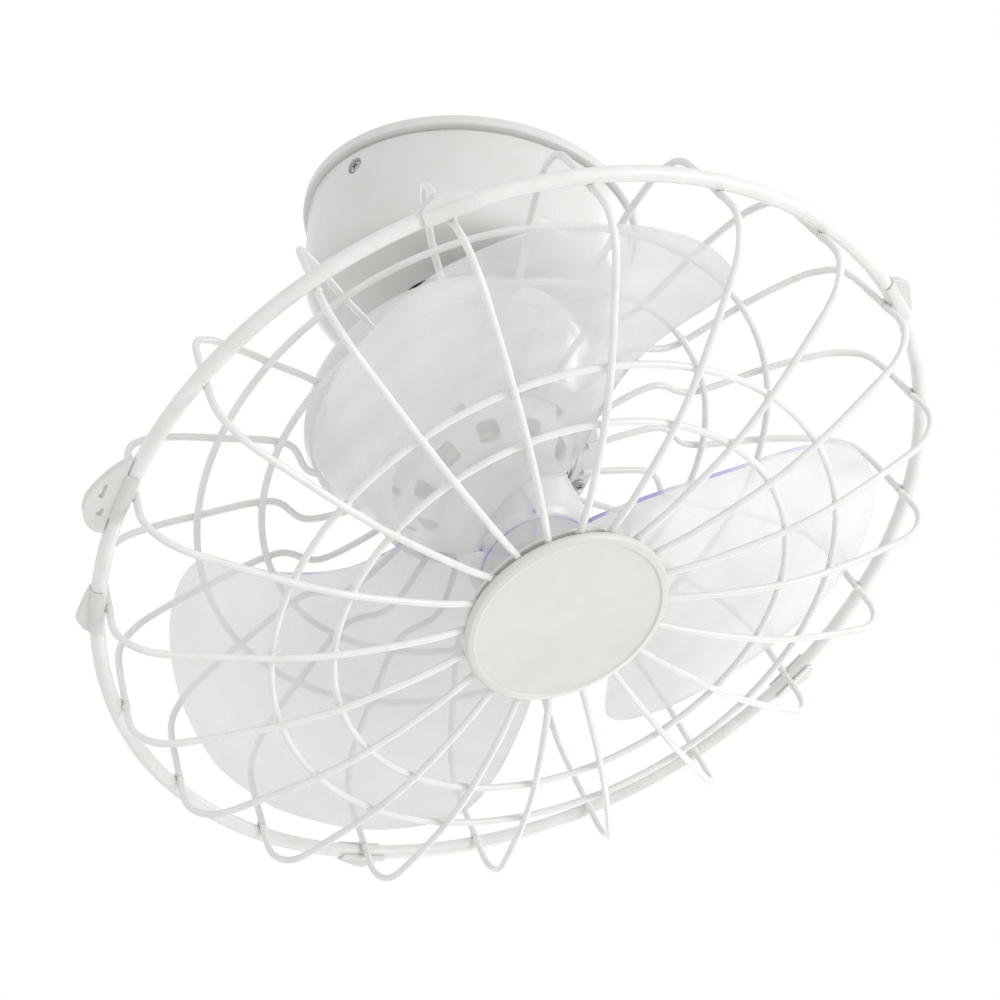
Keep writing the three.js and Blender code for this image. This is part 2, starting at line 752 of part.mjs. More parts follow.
function bladeGeometry() {
  const columns = BLADE_STEPS + 1;
  const positions = [];
  for (const side of [1, -1])
    for (const { radius, leading, trailing, sheet } of bladeRows())
      for (let u = 0; u < columns; u++) {
        const angle = THREE.MathUtils.lerp(leading, trailing, u / BLADE_STEPS);
        const z = RING_PLANE + heightOnSheet(sheet, angle) + (side * BLADE_THICKNESS) / 2;
        positions.push(radius * Math.cos(radians(angle)), radius * Math.sin(radians(angle)), z);
      }
  const rows = bladeRows().length;
  const under = rows * columns;
  const index = [];
  const quad = (a, b, c, d) => index.push(a, b, c, a, c, d);
  for (let v = 0; v < rows - 1; v++)
    for (let u = 0; u < BLADE_STEPS; u++) {
      const a = v * columns + u;
      quad(a, a + columns, a + columns + 1, a + 1);
      quad(under + a + 1, under + a + columns + 1, under + a + columns, under + a);
    }
  const rim = [];
  for (let u = 0; u < columns; u++) rim.push(u);
  for (let v = 1; v < rows; v++) rim.push(v * columns + BLADE_STEPS);
  for (let u = BLADE_STEPS - 1; u >= 0; u--) rim.push((rows - 1) * columns + u);
  for (let v = rows - 2; v > 0; v--) rim.push(v * columns);
  rim.forEach((a, i) => {
    const b = rim[(i + 1) % rim.length];
    quad(a, b, under + b, under + a);
  });
  return new THREE.BufferGeometry()
    .setAttribute("position", new THREE.Float32BufferAttribute(positions, 3))
    .setIndex(index);
}

function bladeSet() {
  const back = RING_PLANE + HUB_CUP_BACK;
  const front = RING_PLANE + HUB_CUP_FRONT;
  const bore = SHAFT_RADIUS + CLEARANCE;
  const cup = turnedRing(
    [
      [HUB_CUP_RADIUS, back],
      [HUB_CUP_RADIUS, front - 4],
      [HUB_CUP_RADIUS - 4, front],
      [bore, front],
      [bore, drivePinHeight() + 2],
      [9, drivePinHeight() + 2],
      [9, front - WALL],
      [HUB_CUP_RADIUS - 4 - WALL / 2, front - WALL],
      [HUB_CUP_RADIUS - WALL, front - 5],
      [HUB_CUP_RADIUS - WALL, back],
    ],
    20,
  );
  const blades = around(BLADE_COUNT, BLADE_FIRST_ANGLE, (angle) => bladeGeometry().rotateZ(angle));
  return join(cup, ...blades);
}

function bladeNut() {
  const from = RING_PLANE + HUB_CUP_FRONT + CLEARANCE;
  const bore = SHAFT_RADIUS + CLEARANCE;
  return turned(
    [
      [0, from + NUT_HEIGHT - 2.5],
      [bore, from + NUT_HEIGHT - 2.5],
      [bore, from],
      [NUT_RADIUS, from],
      [NUT_RADIUS, from + NUT_HEIGHT * 0.45],
      [NUT_RADIUS * 0.7, from + NUT_HEIGHT * 0.85],
      [0, from + NUT_HEIGHT],
    ],
    20,
  );
}

// ---------- Wire guard ----------
function spokes(outline) {
  return around(WIRE_COUNT, WIRE_FIRST_ANGLE, (angle) =>
    wire(
      outline.map(([radius, height, swing = 0]) => [
        radius * Math.cos(radians(swing)),
        radius * Math.sin(radians(swing)),
        RING_PLANE + height,
      ]),
      WIRE_RADIUS,
    ).rotateZ(angle),
  );
}

// A hoop on the inner side of the spokes; side is 1 in front and -1 behind.
function innerHoop(outline, circle, side) {
  const slope = Math.abs(heightAt(outline, circle + 1) - heightAt(outline, circle - 1)) / 2;
  const drop = 2 * WIRE_HALF + CLEARANCE + slope * WIRE_RADIUS;
  return hoop(circle, RING_PLANE + heightAt(outline, circle) - side * drop);
}

function frontGuard() {
  const [innerRadius, innerHeight] = FRONT_WIRE[0];
  return join(hoop(innerRadius + WIRE_SINK, RING_PLANE + innerHeight), ...spokes(FRONT_WIRE));
}

function rearGuard() {
  const back = RING_PLANE + GUARD_PLATE_BACK;
  const inner = guardPlateRadius();
  const plate = tube(inner + GUARD_PLATE_WIDTH, inner, back, back + GUARD_PLATE_THICKNESS, HOOP_FACETS);
  const screwHoles = guardScrews((angle) =>
    rod(SCREW_RADIUS + CLEARANCE, back - 1, back + GUARD_PLATE_THICKNESS + 3, 8)
      .translate(guardScrewCircle(), 0, 0)
      .rotateZ(angle),
  );
  return cut(join(plate, ...spokes(REAR_WIRE)), ...screwHoles);
}

// Places midway between the inner ends of the rear spokes.
function guardScrews(make) {
  const swing = REAR_WIRE[0][2];
  return around(GUARD_SCREW_COUNT, WIRE_FIRST_ANGLE + swing + 180 / WIRE_COUNT, make);
}

function guardScrew(angle) {
  return screw(7)
    .translate(guardScrewCircle(), 0, RING_PLANE + GUARD_PLATE_BACK + GUARD_PLATE_THICKNESS + CLEARANCE)
    .rotateZ(angle);
}

// A C-shaped sleeve pushed on to the ring from outside, open towards the wires.
function clipSleeve() {
  const inner = GUARD_RING_TUBE + CLEARANCE;
  const outer = inner + CLIP_WALL;
  const reach = 105;
  const arc = (radius, from, to) =>
    [0, 1, 2, 3, 4, 5, 6].map((i) => {
      const turn = radians(from + ((to - from) * i) / 6);
      return [CLIP_RADIUS + radius * Math.cos(turn), RING_PLANE + radius * Math.sin(turn)];
    });
  const section = [...arc(outer, -reach, reach), ...arc(inner, reach, -reach)];
  const shape = new THREE.Shape(section.map(([radius, height]) => new THREE.Vector2(radius, height)));
  return new THREE.ExtrudeGeometry(shape, { depth: CLIP_LENGTH, bevelEnabled: false })
    .rotateX(Math.PI / 2)
    .translate(0, CLIP_LENGTH / 2, 0);
}

// A flat tab that stands out from the sleeve, from a shape of distance from the ring and place along it.
function clipTab(shape) {
  const sheet = { depth: CLIP_TAB_THICKNESS, bevelEnabled: false, curveSegments: 10 };
  return new THREE.ExtrudeGeometry(shape, sheet).translate(CLIP_RADIUS, 0, RING_PLANE - CLIP_TAB_THICKNESS / 2);
}

function guardClip(angle) {
  const root = GUARD_RING_TUBE + CLEARANCE + CLIP_WALL / 2;
  const end = CLIP_LENGTH / 2;
  const thumb = new THREE.Shape();
  thumb.moveTo(root, -end);
  thumb.lineTo(root, end);
  thumb.lineTo(root + 3, end - 2);
  thumb.lineTo(root + 7.5, 5);
  thumb.quadraticCurveTo(root + 5, -5, root + 1, -end);
  return join(clipSleeve(), clipTab(thumb)).rotateZ(angle);
}

// The larger clip that is opened to take the front guard off, with two windows in its tab.
function guardLatch() {
  const root = GUARD_RING_TUBE + CLEARANCE + CLIP_WALL / 2;
  const lever = new THREE.Shape();
  lever.moveTo(root, -LATCH_HALF_LENGTH);
  lever.lineTo(root, LATCH_HALF_LENGTH);
  lever.bezierCurveTo(LATCH_REACH - 3, LATCH_HALF_LENGTH + 1, LATCH_REACH + 3, 8, LATCH_REACH, 0);
  lever.bezierCurveTo(LATCH_REACH - 3, -10, root + 6, -LATCH_HALF_LENGTH + 5, root, -LATCH_HALF_LENGTH);
  const windows = LATCH_WINDOWS.map((corners) => {
    const shape = new THREE.Shape(corners.map((corner) => new THREE.Vector2(...corner)));
    return clipTab(shape).translate(0, 0, -RING_PLANE).scale(1, 1, 2).translate(0, 0, RING_PLANE);
  });
  const angle = radians(WIRE_FIRST_ANGLE + (360 * LATCH_SPOKE) / WIRE_COUNT);
  return cut(join(clipSleeve(), clipTab(lever)), ...windows).rotateZ(angle);
}

function frontCap() {
  const back = RING_PLANE + capBack();
  const skirt = 2.5;
  return turned(
    [
      [0, back + CAP_HEIGHT - WALL],
      [CAP_RADIUS - WALL - 1, back + CAP_HEIGHT - WALL - 1.6],
      [CAP_RADIUS - WALL, back],
      [CAP_RADIUS, back],
      [CAP_RADIUS, back + CAP_HEIGHT - skirt],
      [CAP_RADIUS - 1.5, back + CAP_HEIGHT - 1],
      [0, back + CAP_HEIGHT + 0.5],
    ],
    30,
  );
}

// The cap's back rests just in front of the wires.
function capBack() {
  return heightAt(FRONT_WIRE, CAP_RADIUS) + WIRE_RADIUS + CLEARANCE;
}

function capBackplate() {
  const front = RING_PLANE + FRONT_WIRE[0][1] - WIRE_RADIUS - CLEARANCE;
  const boss = RING_PLANE + capBack() + CAP_HEIGHT - WALL - CLEARANCE - 0.6;
  const plate = turned(
    [
      [0, front - 2.5],
      [CAP_RADIUS - 3, front - 2.5],
      [CAP_RADIUS - 3, front],
      [9, front],
      [9, boss],
      [0, boss],
    ],
    28,
  );
  const hole = rod(SCREW_RADIUS + CLEARANCE, front - 4, boss - 2, 10);
  return cut(plate, hole);
}

function capScrew() {
  const seat = RING_PLANE + FRONT_WIRE[0][1] - WIRE_RADIUS - CLEARANCE - 2.5 - CLEARANCE;
  return screw(6).rotateX(Math.PI).translate(0, 0, seat);
}

// ---------- Assembly ----------
const fan = new THREE.Group();
const ceiling = new THREE.Group();
ceiling.add(
  piece("mounting_plate", mountingPlate(), ZINC),
  piece("support_bracket", supportBracket(), ZINC),
  piece(
    "main_bearing",
    tube(
      BALL_BEARING_RADIUS,
      CRANK_RADIUS + CLEARANCE,
      -BALL_BEARING_DROP - BALL_BEARING_WIDTH,
      -BALL_BEARING_DROP,
    ),
    STEEL,
  ),
  piece("orbit_motor", orbitMotor(), ZINC),
  piece("run_capacitor", underPlate(CAPACITOR, 1), DARK_PLASTIC),
  piece("terminal_block", underPlate(TERMINALS, -1), WHITE_PLASTIC),
  piece("ceiling_cup", ceilingCup(), WHITE_PLASTIC),
);
CUP_SCREW_ANGLES.forEach((angle, i) => ceiling.add(piece(`cup_screw_${i + 1}`, cupScrew(angle), STEEL)));

const crank = new THREE.Group();
const crankShaftFloor = -CRANK_TOP_DROP - 12;
crank.add(
  piece(
    "orbit_motor_shaft",
    rod(GEARMOTOR_SHAFT_RADIUS, crankShaftFloor, -BRACKET_DROP + BRACKET_SHEET + CLEARANCE + 7),
    STEEL,
  ),
  piece("crank_shaft", crankShaft(), STEEL),
  piece(
    "crank_retaining_ring",
    tube(
      CRANK_RADIUS + 3.5,
      CRANK_RADIUS + CLEARANCE,
      -BALL_BEARING_DROP + CLEARANCE,
      -BALL_BEARING_DROP + CLEARANCE + 1.5,
    ),
    STEEL,
  ),
  piece(
    "pin_collar",
    inHead(tube(PIN_RADIUS + 5, PIN_RADIUS + CLEARANCE, PIN_LENGTH - 1 - COLLAR_WIDTH, PIN_LENGTH - 1)),
    STEEL,
  ),
);

const head = new THREE.Group();
head.applyMatrix4(headFrame());
const bearing = (from) =>
  tube(MOTOR_BEARING_RADIUS, SHAFT_RADIUS + CLEARANCE, from, from + MOTOR_BEARING_WIDTH, 20);
head.add(
  piece("head_hub", headHub(), ZINC),
  piece(
    "head_bush",
    tube(PIN_RADIUS + CLEARANCE + BUSH_WALL, PIN_RADIUS + CLEARANCE, HUB_PLATE_FROM, HUB_BOSS_END),
    BRONZE,
  ),
  ...around(3, 0, (angle, i) => piece(`hub_screw_${i + 1}`, hubScrew(angle), STEEL)),
  piece("rear_housing", rearHousing(), WHITE_PLASTIC),
  piece("front_housing", frontHousing(), WHITE_PLASTIC),
  piece("motor_frame", motorFrame(), ZINC),
  piece("stator_core", statorCore(), STEEL),
  piece("stator_winding", statorWinding(), COPPER),
  piece("rear_bearing", bearing(END_PLATE_FROM), BRONZE),
  piece("front_bearing", bearing(housingFromPivot.at(-1)[1] - MOTOR_BEARING_WIDTH), BRONZE),
  piece("guard_ring", hoop(GUARD_RADIUS, RING_PLANE, GUARD_RING_TUBE, GUARD_RING_SIDES), WHITE_WIRE),
  piece("rear_guard", rearGuard(), WHITE_WIRE),
  ...REAR_HOOPS.map((circle, i) =>
    piece(`rear_hoop_${i + 1}`, innerHoop(REAR_WIRE, circle, -1), WHITE_WIRE),
  ),
  ...guardScrews((angle, i) => piece(`guard_screw_${i + 1}`, guardScrew(angle), STEEL)),
  piece("front_guard", frontGuard(), WHITE_WIRE),
  ...FRONT_HOOPS.map((circle, i) =>
    piece(`front_hoop_${i + 1}`, innerHoop(FRONT_WIRE, circle, 1), WHITE_WIRE),
  ),
  ...around(CLIP_COUNT, WIRE_FIRST_ANGLE, (angle, i) =>
    piece(`guard_clip_${i + 1}`, guardClip(angle), WHITE_PLASTIC),
  ),
  piece("guard_latch", guardLatch(), WHITE_PLASTIC),
  piece("front_cap", frontCap(), CAP_PLASTIC),
  piece("cap_backplate", capBackplate(), WHITE_PLASTIC),
  piece("cap_screw", capScrew(), STEEL),
);

const rotor = new THREE.Group();
rotor.add(
  piece("motor_shaft", motorShaft(), STEEL),
  piece(
    "rotor_core",
    tube(STATOR_BORE - AIR_GAP, SHAFT_RADIUS + CLEARANCE, STATOR_FROM, STATOR_FROM + STATOR_LENGTH, 28),
    STEEL,
  ),
  piece("drive_pin", drivePin(), STEEL),
  piece("blade_set", bladeSet(), CLEAR_PLASTIC),
  piece("blade_nut", bladeNut(), CLEAR_PLASTIC),
);
head.add(rotor);

fan.add(ceiling, crank, head);
export default fan;
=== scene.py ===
"""The looks of the orbital ceiling fan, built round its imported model: a white ceiling cup, a crank, and
a tilted head with a motor housing, a cage of coated wire, three translucent blades and a plain front cap.
Sizes are in millimetres and become metres where a mesh is made; the stage and the camera are in metres."""

import json
import math

import bmesh
import bpy
from mathutils import Matrix, Vector


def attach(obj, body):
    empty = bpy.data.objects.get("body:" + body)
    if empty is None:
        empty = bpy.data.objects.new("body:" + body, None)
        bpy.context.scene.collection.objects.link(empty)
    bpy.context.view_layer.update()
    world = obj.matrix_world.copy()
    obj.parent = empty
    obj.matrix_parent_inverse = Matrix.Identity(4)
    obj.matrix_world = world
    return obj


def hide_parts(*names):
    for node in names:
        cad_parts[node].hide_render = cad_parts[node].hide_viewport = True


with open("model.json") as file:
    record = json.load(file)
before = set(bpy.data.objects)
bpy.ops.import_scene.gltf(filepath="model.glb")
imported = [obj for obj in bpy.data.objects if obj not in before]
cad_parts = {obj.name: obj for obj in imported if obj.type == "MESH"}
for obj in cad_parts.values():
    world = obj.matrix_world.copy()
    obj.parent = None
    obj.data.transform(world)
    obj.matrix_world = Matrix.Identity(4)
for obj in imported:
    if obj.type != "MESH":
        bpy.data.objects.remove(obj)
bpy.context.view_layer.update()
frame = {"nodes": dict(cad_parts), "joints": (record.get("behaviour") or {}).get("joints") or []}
MM = 0.001
JOINTS = {joint["name"]: joint for joint in frame["joints"]}

# The head's own frame: its origin at the crank's knuckle, +Z along the fan's axis and +X level.
PIVOT = Vector(JOINTS["head_swing"]["pos_m"])
AXIS = Vector(JOINTS["blade_spin"]["axis"]).normalized()
ACROSS = Vector((0, 0, 1)).cross(AXIS).normalized()
HEAD = Matrix.Translation(PIVOT) @ Matrix((ACROSS, AXIS.cross(ACROSS), AXIS)).transposed().to_4x4()
WORLD = Matrix.Identity(4)

RING_PLANE = 117  # the guard's thick ring, along the head's axis
WIRE_COUNT = 20
WIRE_RADIUS = 1.9
WIRE_FIRST = 11.5  # degrees
GUARD_RADIUS = 230
RING_TUBE = 4
CAP_RADIUS = 56
WALL = 2.3


# ---------- Node graphs written as expressions ----------
class Value:
    """A socket that Python's arithmetic turns into Math nodes."""

    def __init__(self, graph, socket):
        self.graph = graph
        self.socket = socket

    def math(self, operation, *others):
        return self.graph.node("ShaderNodeMath", {"operation": operation}, dict(enumerate((self, *others))))

    def __add__(self, other):
        return self.math("ADD", other)

    def __sub__(self, other):
        return self.math("SUBTRACT", other)

    def __rsub__(self, other):
        return self.graph.node("ShaderNodeMath", {"operation": "SUBTRACT"}, {0: other, 1: self})

    def __mul__(self, other):
        return self.math("MULTIPLY", other)

    def __truediv__(self, other):
        return self.math("DIVIDE", other)

    __radd__ = __add__

    def spread(self, low, high):
        """0 at low and 1 at high, smooth between them."""
        settings = {"interpolation_type": "SMOOTHSTEP"}
        sockets = {"Value": self, "From Min": low, "From Max": high}
        return self.graph.node("ShaderNodeMapRange", settings, sockets)


class Graph:
    """A node tree, shader or geometry, where one method makes any node."""

    def __init__(self, tree):
        self.tree = tree

    def node(self, kind, settings=None, sockets=None, output=0):
        made = self.tree.nodes.new(kind)
        for name, value in (settings or {}).items():
            setattr(made, name, value)
        for name, value in (sockets or {}).items():
            self.feed(made.inputs[name], value)
        return Value(self, made.outputs[output]) if len(made.outputs) else None

    def feed(self, socket, value):
        if isinstance(value, Value):
            self.tree.links.new(value.socket, socket)
        elif isinstance(value, list):
            for each in reversed(value):
                self.tree.links.new(each.socket, socket)
        else:
            socket.default_value = value


class Finish(Graph):
    """A Principled material, with its pattern in millimetres on Object coordinates."""

    def __init__(self, name, **fixed):
        self.material = bpy.data.materials.new(name)
        self.material.use_nodes = True
        super().__init__(self.material.node_tree)
        self.shader = self.tree.nodes["Principled BSDF"]
        for socket, value in fixed.items():
            self.shader.inputs[socket.replace("_", " ")].default_value = value
        self.object_place = self.node("ShaderNodeTexCoord", output="Object")
        self.place = self.vector("SCALE", self.object_place, Scale=1 / MM)

    def vector(self, operation, *values, output=0, **named):
        sockets = {**dict(enumerate(values)), **named}
        return self.node("ShaderNodeVectorMath", {"operation": operation}, sockets, output)

    def noise(self, size, detail=2.0, stretch=None):
        """Noise whose features are about size millimetres wide."""
        place = self.vector("MULTIPLY", self.place, stretch) if stretch else self.place
        sockets = {"Vector": place, "Scale": 1 / size, "Detail": detail, "Roughness": 0.55}
        return self.node("ShaderNodeTexNoise", {}, sockets)

    def from_axis(self):
        """How far a point is from the fan's axis, in millimetres."""
        arm = self.vector("SUBTRACT", self.object_place, tuple(PIVOT))
        return self.vector("LENGTH", self.vector("CROSS_PRODUCT", arm, tuple(AXIS)), output="Value") / MM

    def mix(self, share, one, two):
        return self.node("ShaderNodeMix", {"data_type": "RGBA"}, {"Factor": share, 6: one, 7: two}, output=2)

    def set(self, name, value):
        self.feed(self.shader.inputs[name], value)
        return self

    def bump(self, height, distance, strength=1.0):
        sockets = {"Height": height, "Distance": distance * MM, "Strength": strength}
        return self.set("Normal", self.node("ShaderNodeBump", {}, sockets))


def colour(red, green, blue):
    """An sRGB colour from 0 to 255 as a linear one."""

    def linear(v):
        v /= 255
        return v / 12.92 if v < 0.04045 else ((v + 0.055) / 1.055) ** 2.4

    return (linear(red), linear(green), linear(blue), 1.0)


def grey(level, warm=0.0):
    """A grey that is warmed by taking some blue away."""
    return colour(level, level - warm * 0.1, level - warm)


def moulded_plastic(name, level, warm, gloss):
    """Injection-moulded white: fine grain, faint flow marks, dust, hairline scuffs and a little yellowing."""
    made = Finish(name, Specular_IOR_Level=0.5)
    flow = made.noise(38, 3)
    cloud = made.noise(9, 2)
    grain = made.noise(0.55, 1)
    patch = (flow * 0.7 + cloud * 0.3).spread(0.35, 0.68)
    tone = made.mix(patch, grey(level - 2, warm + 1), grey(level + 2, warm))
    dust = made.noise(1.6, 4).spread(0.66, 0.8) * 0.1
    scuff = made.noise(4, 3, (1, 0.12, 0.5)).spread(0.62, 0.7) * cloud.spread(0.5, 0.7)
    tone = made.mix(dust, tone, grey(level - 42, warm + 8))
    made.set("Base Color", made.mix(scuff * 0.06, tone, grey(level + 12, warm)))
    made.set("Roughness", gloss + (cloud - 0.5) * 0.1 + (grain - 0.5) * 0.08 + scuff * 0.12)
    return made.bump(grain * 0.6 + made.noise(2.2, 2) * 0.4, 0.06, 0.5).material


def coated_wire():
    """Powder coat: orange peel, a slightly warm white, thin patches and a little grime."""
    made = Finish("powder_coated_wire", Specular_IOR_Level=0.5)
    peel = made.noise(1.4, 2)
    thin = made.noise(14, 3).spread(0.3, 0.75)
    grime = made.noise(5, 4).spread(0.6, 0.78) * 0.22
    tone = made.mix(thin, grey(230, 3), grey(237, 2))
    made.set("Base Color", made.mix(grime, tone, grey(202, 12)))
    made.set("Roughness", 0.32 + (peel - 0.5) * 0.16 + grime * 0.3)
    return made.bump(peel, 0.12, 0.6).material


def clear_plastic(name, level, alpha):
    """Milky moulded plastic that lets what lies behind show through, denser where the melt flowed thick."""
    made = Finish(name, Specular_IOR_Level=0.6, IOR=1.5)
    flow = made.noise(64, 1)
    fine = made.noise(2.2, 3)
    speck = made.noise(0.8, 1).spread(0.6, 0.75)
    rings = (made.from_axis() / 3.4 + flow * 5).math("SINE") * 0.5 + 0.5
    milk = (flow * 0.8 + fine * 0.1 + rings * 0.1).spread(0.3, 0.72)
    tone = made.mix(milk, grey(level - 8, 0), grey(level + 3, 1))
    made.set("Base Color", made.mix(speck * 0.05, tone, grey(level - 45, 0)))
    rim = made.node("ShaderNodeLayerWeight", {}, {"Blend": 0.35}, output="Facing")
    made.set("Alpha", (alpha + (milk - 0.5) * 0.06 + rim * 0.22).math("MINIMUM", 1.0))
    made.set("Roughness", 0.14 + fine * 0.14 + rings * 0.03)
    return made.bump(flow * 0.3 + fine * 0.1 + rings * 0.1, 0.15, 0.2).material


def tinted_edge():
    """The thin edges of the clear plastic, which gather light and look violet in places."""
    made = Finish("tinted_plastic_edge", Specular_IOR_Level=0.6, IOR=1.5)
    patch = made.noise(24, 3).spread(0.42, 0.62)
    fade = 1 - made.from_axis().spread(70, 190) * 0.7
    share = patch * fade
    made.set("Base Color", made.mix(share, grey(244), colour(176, 168, 236)))
    made.set("Alpha", share * 0.35 + 0.5)
    made.set("Roughness", 0.18 + patch * 0.08)
    return made.bump(made.noise(1.5, 2), 0.1, 0.3).material


def turned_metal(name, level, warm, rough, size=0.35):
    """Metal with fine turning or rolling marks and a few dull stains."""
    made = Finish(name, Metallic=1.0)
    marks = made.noise(size, 2, (1, 1, 6))
    stain = made.noise(11, 4).spread(0.45, 0.75)
    made.set("Base Color", made.mix(stain * 0.3, grey(level, warm), grey(level - 30, warm + 4)))
    made.set("Roughness", rough + stain * 0.14 + (marks - 0.5) * 0.12)
    return made.bump(marks, 0.03, 0.5).material


def dark_plastic():
    """Dark grey moulding with a fine grain."""
    made = Finish("dark_plastic", Specular_IOR_Level=0.5)
    grain = made.noise(0.7, 2)
    made.set("Base Color", made.mix(grain, grey(48), grey(66)))
    made.set("Roughness", 0.42 + grain * 0.18)
    return made.bump(grain, 0.08, 0.6).material


WHITE = moulded_plastic("white_moulded_plastic", 222, 2, 0.22)
CAP_WHITE = moulded_plastic("cap_moulded_plastic", 219, 5, 0.36)
WIRE_WHITE = coated_wire()
CLEAR = clear_plastic("translucent_blade_plastic", 232, 0.44)
# The hub and knob use the blades' plastic made whiter: painted light that brightens the shaded hub as if
# light scattered through it.
HUB_CLEAR_PAINTED_LIGHT = clear_plastic("translucent_hub_plastic", 255, 0.5)
EDGE = tinted_edge()
STEEL = turned_metal("turned_steel", 190, 0, 0.28)
ZINC = turned_metal("zinc_plated_sheet", 186, 4, 0.42, 0.8)
BRONZE = turned_metal("sintered_bronze", 168, 62, 0.4)
COPPER = turned_metal("enamelled_copper", 176, 90, 0.32, 0.5)
DARK = dark_plastic()


# ---------- Mesh helpers ----------
def piece(name, body, material, mesh, place=WORLD, replaces=()):
    """A finished object, at the origin with its place in its mesh, that moves with a body."""
    mesh.transform(place)
    if not mesh.materials:
        mesh.materials.append(material)
    made = bpy.data.objects.new(name, mesh)
    bpy.context.scene.collection.objects.link(made)
    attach(made, body)
    if replaces:
        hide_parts(*replaces)
    return made


def mesh_of(work):
    """A bmesh, written in millimetres, as a mesh in metres with its doubles merged and its faces outwards."""
    bmesh.ops.remove_doubles(work, verts=work.verts, dist=1e-4)
    bmesh.ops.recalc_face_normals(work, faces=work.faces)
    for face in work.faces:
        face.smooth = True
    mesh = bpy.data.meshes.new("mesh")
    work.to_mesh(mesh)
    work.free()
    mesh.transform(Matrix.Scale(MM, 4))
    return mesh


def turned(profile, facets, closed):
    """Points of radius and height turned round the Z axis, with a pole where the radius is 0."""
    work = bmesh.new()
    angles = [2 * math.pi * k / facets for k in range(facets)]
    rings = []
    for radius, height in profile:
        places = [(radius * math.cos(a), radius * math.sin(a), height) for a in angles]
        rings.append([work.verts.new(place) for place in (places if radius > 1e-6 else [(0, 0, height)])])
    pairs = list(zip(rings, rings[1:]))
    if closed and len(rings[0]) > 1:
        pairs.append((rings[-1], rings[0]))
    for one, two in pairs:
        for k in range(facets):
            n = (k + 1) % facets
            corners = [one[k % len(one)], one[n % len(one)], two[n % len(two)], two[k % len(two)]]
            unique = list(dict.fromkeys(corners))
            if len(unique) > 2:
                work.faces.new(unique)
    return work


def rounded(profile, closed=True):
    """A profile of (radius, height, fillet) points, each corner rounded as far as there is room."""
    count = len(profile)
    made = []
    for i, (radius, height, *fillet) in enumerate(profile):
        if not fillet or (not closed and i in (0, count - 1)):
            made.append((radius, height))
            continue
        here = Vector((radius, height))
        before = Vector(profile[i - 1][:2]) - here
        after = Vector(profile[(i + 1) % count][:2]) - here
        turn = math.pi - before.angle(after)
        room = min(before.length, after.length) * 0.47
        size = min(fillet[0] * math.tan(turn / 2), room)
        one = here + before.normalized() * size
        two = here + after.normalized() * size
        steps = 4 if fillet[0] < 4 else 8
        for k in range(steps + 1):
            t = k / steps
            made.append(tuple(one * (1 - t) ** 2 + here * 2 * t * (1 - t) + two * t**2))
    return made


def inset(outline, wall):
    """The outline of a turned cover moved inwards by its wall."""
    made = []
    for i, (radius, height) in enumerate(outline):
        before = Vector(outline[max(i - 1, 0)])
        along = (Vector(outline[min(i + 1, len(outline) - 1)]) - before).normalized()
        made.append((radius - along.y * wall, height + along.x * wall))
    return made


def turned_mesh(profile, facets=128, sharp=40, closed=True):
    """A turned profile as a mesh whose edges over sharp degrees stay crisp."""
    mesh = mesh_of(turned(profile, facets, closed))
    mesh.set_sharp_from_angle(angle=math.radians(sharp))
    return mesh


def shell_mesh(outline):
    """A turned cover of one wall, from its outer outline."""
    return turned_mesh(outline + inset(outline, WALL)[::-1], 160)


def prism(outline, low, high):
    """A flat outline between two heights."""
    work = bmesh.new()
    floor = [work.verts.new((x, y, low)) for x, y in outline]
    roof = [work.verts.new((x, y, high)) for x, y in outline]
    work.faces.new(floor[::-1])
    work.faces.new(roof)
    for i in range(len(outline)):
        n = (i + 1) % len(outline)
        work.faces.new((floor[i], floor[n], roof[n], roof[i]))
    return mesh_of(work)


def window(length, width, corner):
    """A rectangle with round corners, length along X and width along Y."""
    made = []
    steps = 4
    for turn, (sx, sy) in enumerate(((1, 1), (-1, 1), (-1, -1), (1, -1))):
        for k in range(steps + 1):
            angle = math.radians(90 * (turn + k / steps))
            x = sx * (length / 2 - corner) + corner * math.cos(angle)
            y = sy * (width / 2 - corner) + corner * math.sin(angle)
            made.append((x, y))
    return made


def bezier(corners):
    """Points along a quadratic or cubic curve, without its first one."""
    made = []
    steps = 12
    for k in range(1, steps + 1):
        row = [Vector(corner) for corner in corners]
        while len(row) > 1:
            row = [one.lerp(two, k / steps) for one, two in zip(row, row[1:])]
        made.append(tuple(row[0]))
    return made


def loose(mesh):
    """A working object round a mesh, for its modifiers."""
    made = bpy.data.objects.new("work", mesh)
    bpy.context.scene.collection.objects.link(made)
    return made


def evaluated(made):
    """The object's mesh with its modifiers applied; the object itself is removed."""
    bpy.context.view_layer.update()
    graph = bpy.context.evaluated_depsgraph_get()
    mesh = bpy.data.meshes.new_from_object(made.evaluated_get(graph), depsgraph=graph)
    bpy.data.objects.remove(made)
    return mesh


def bevelled(mesh, width, angle=40, segments=3):
    """A mesh with its edges over angle degrees rounded."""
    made = loose(mesh)
    bevel = made.modifiers.new("bevel", "BEVEL")
    bevel.width = width * MM
    bevel.segments = segments
    bevel.limit_method = "ANGLE"
    bevel.angle_limit = math.radians(angle)
    bevel.harden_normals = True
    return evaluated(made)


def cut_away(mesh, cutter):
    """A mesh with another taken out of it."""
    tool = loose(cutter)
    made = loose(mesh)
    knife = made.modifiers.new("cut", "BOOLEAN")
    knife.operation = "DIFFERENCE"
    knife.object = tool
    result = evaluated(made)
    bpy.data.objects.remove(tool)
    result.set_sharp_from_angle(angle=math.radians(35))
    return result


def together(*meshes):
    """Several meshes, each already in its place, as one."""
    work = bmesh.new()
    for mesh in meshes:
        work.from_mesh(mesh)
    made = bpy.data.meshes.new("together")
    work.to_mesh(made)
    work.free()
    return made


def placed(mesh, place):
    mesh.transform(place)
    return mesh


def shift(x, y, z):
    return Matrix.Translation((x * MM, y * MM, z * MM))


def spin(degrees, axis="Z"):
    return Matrix.Rotation(math.radians(degrees), 4, axis)


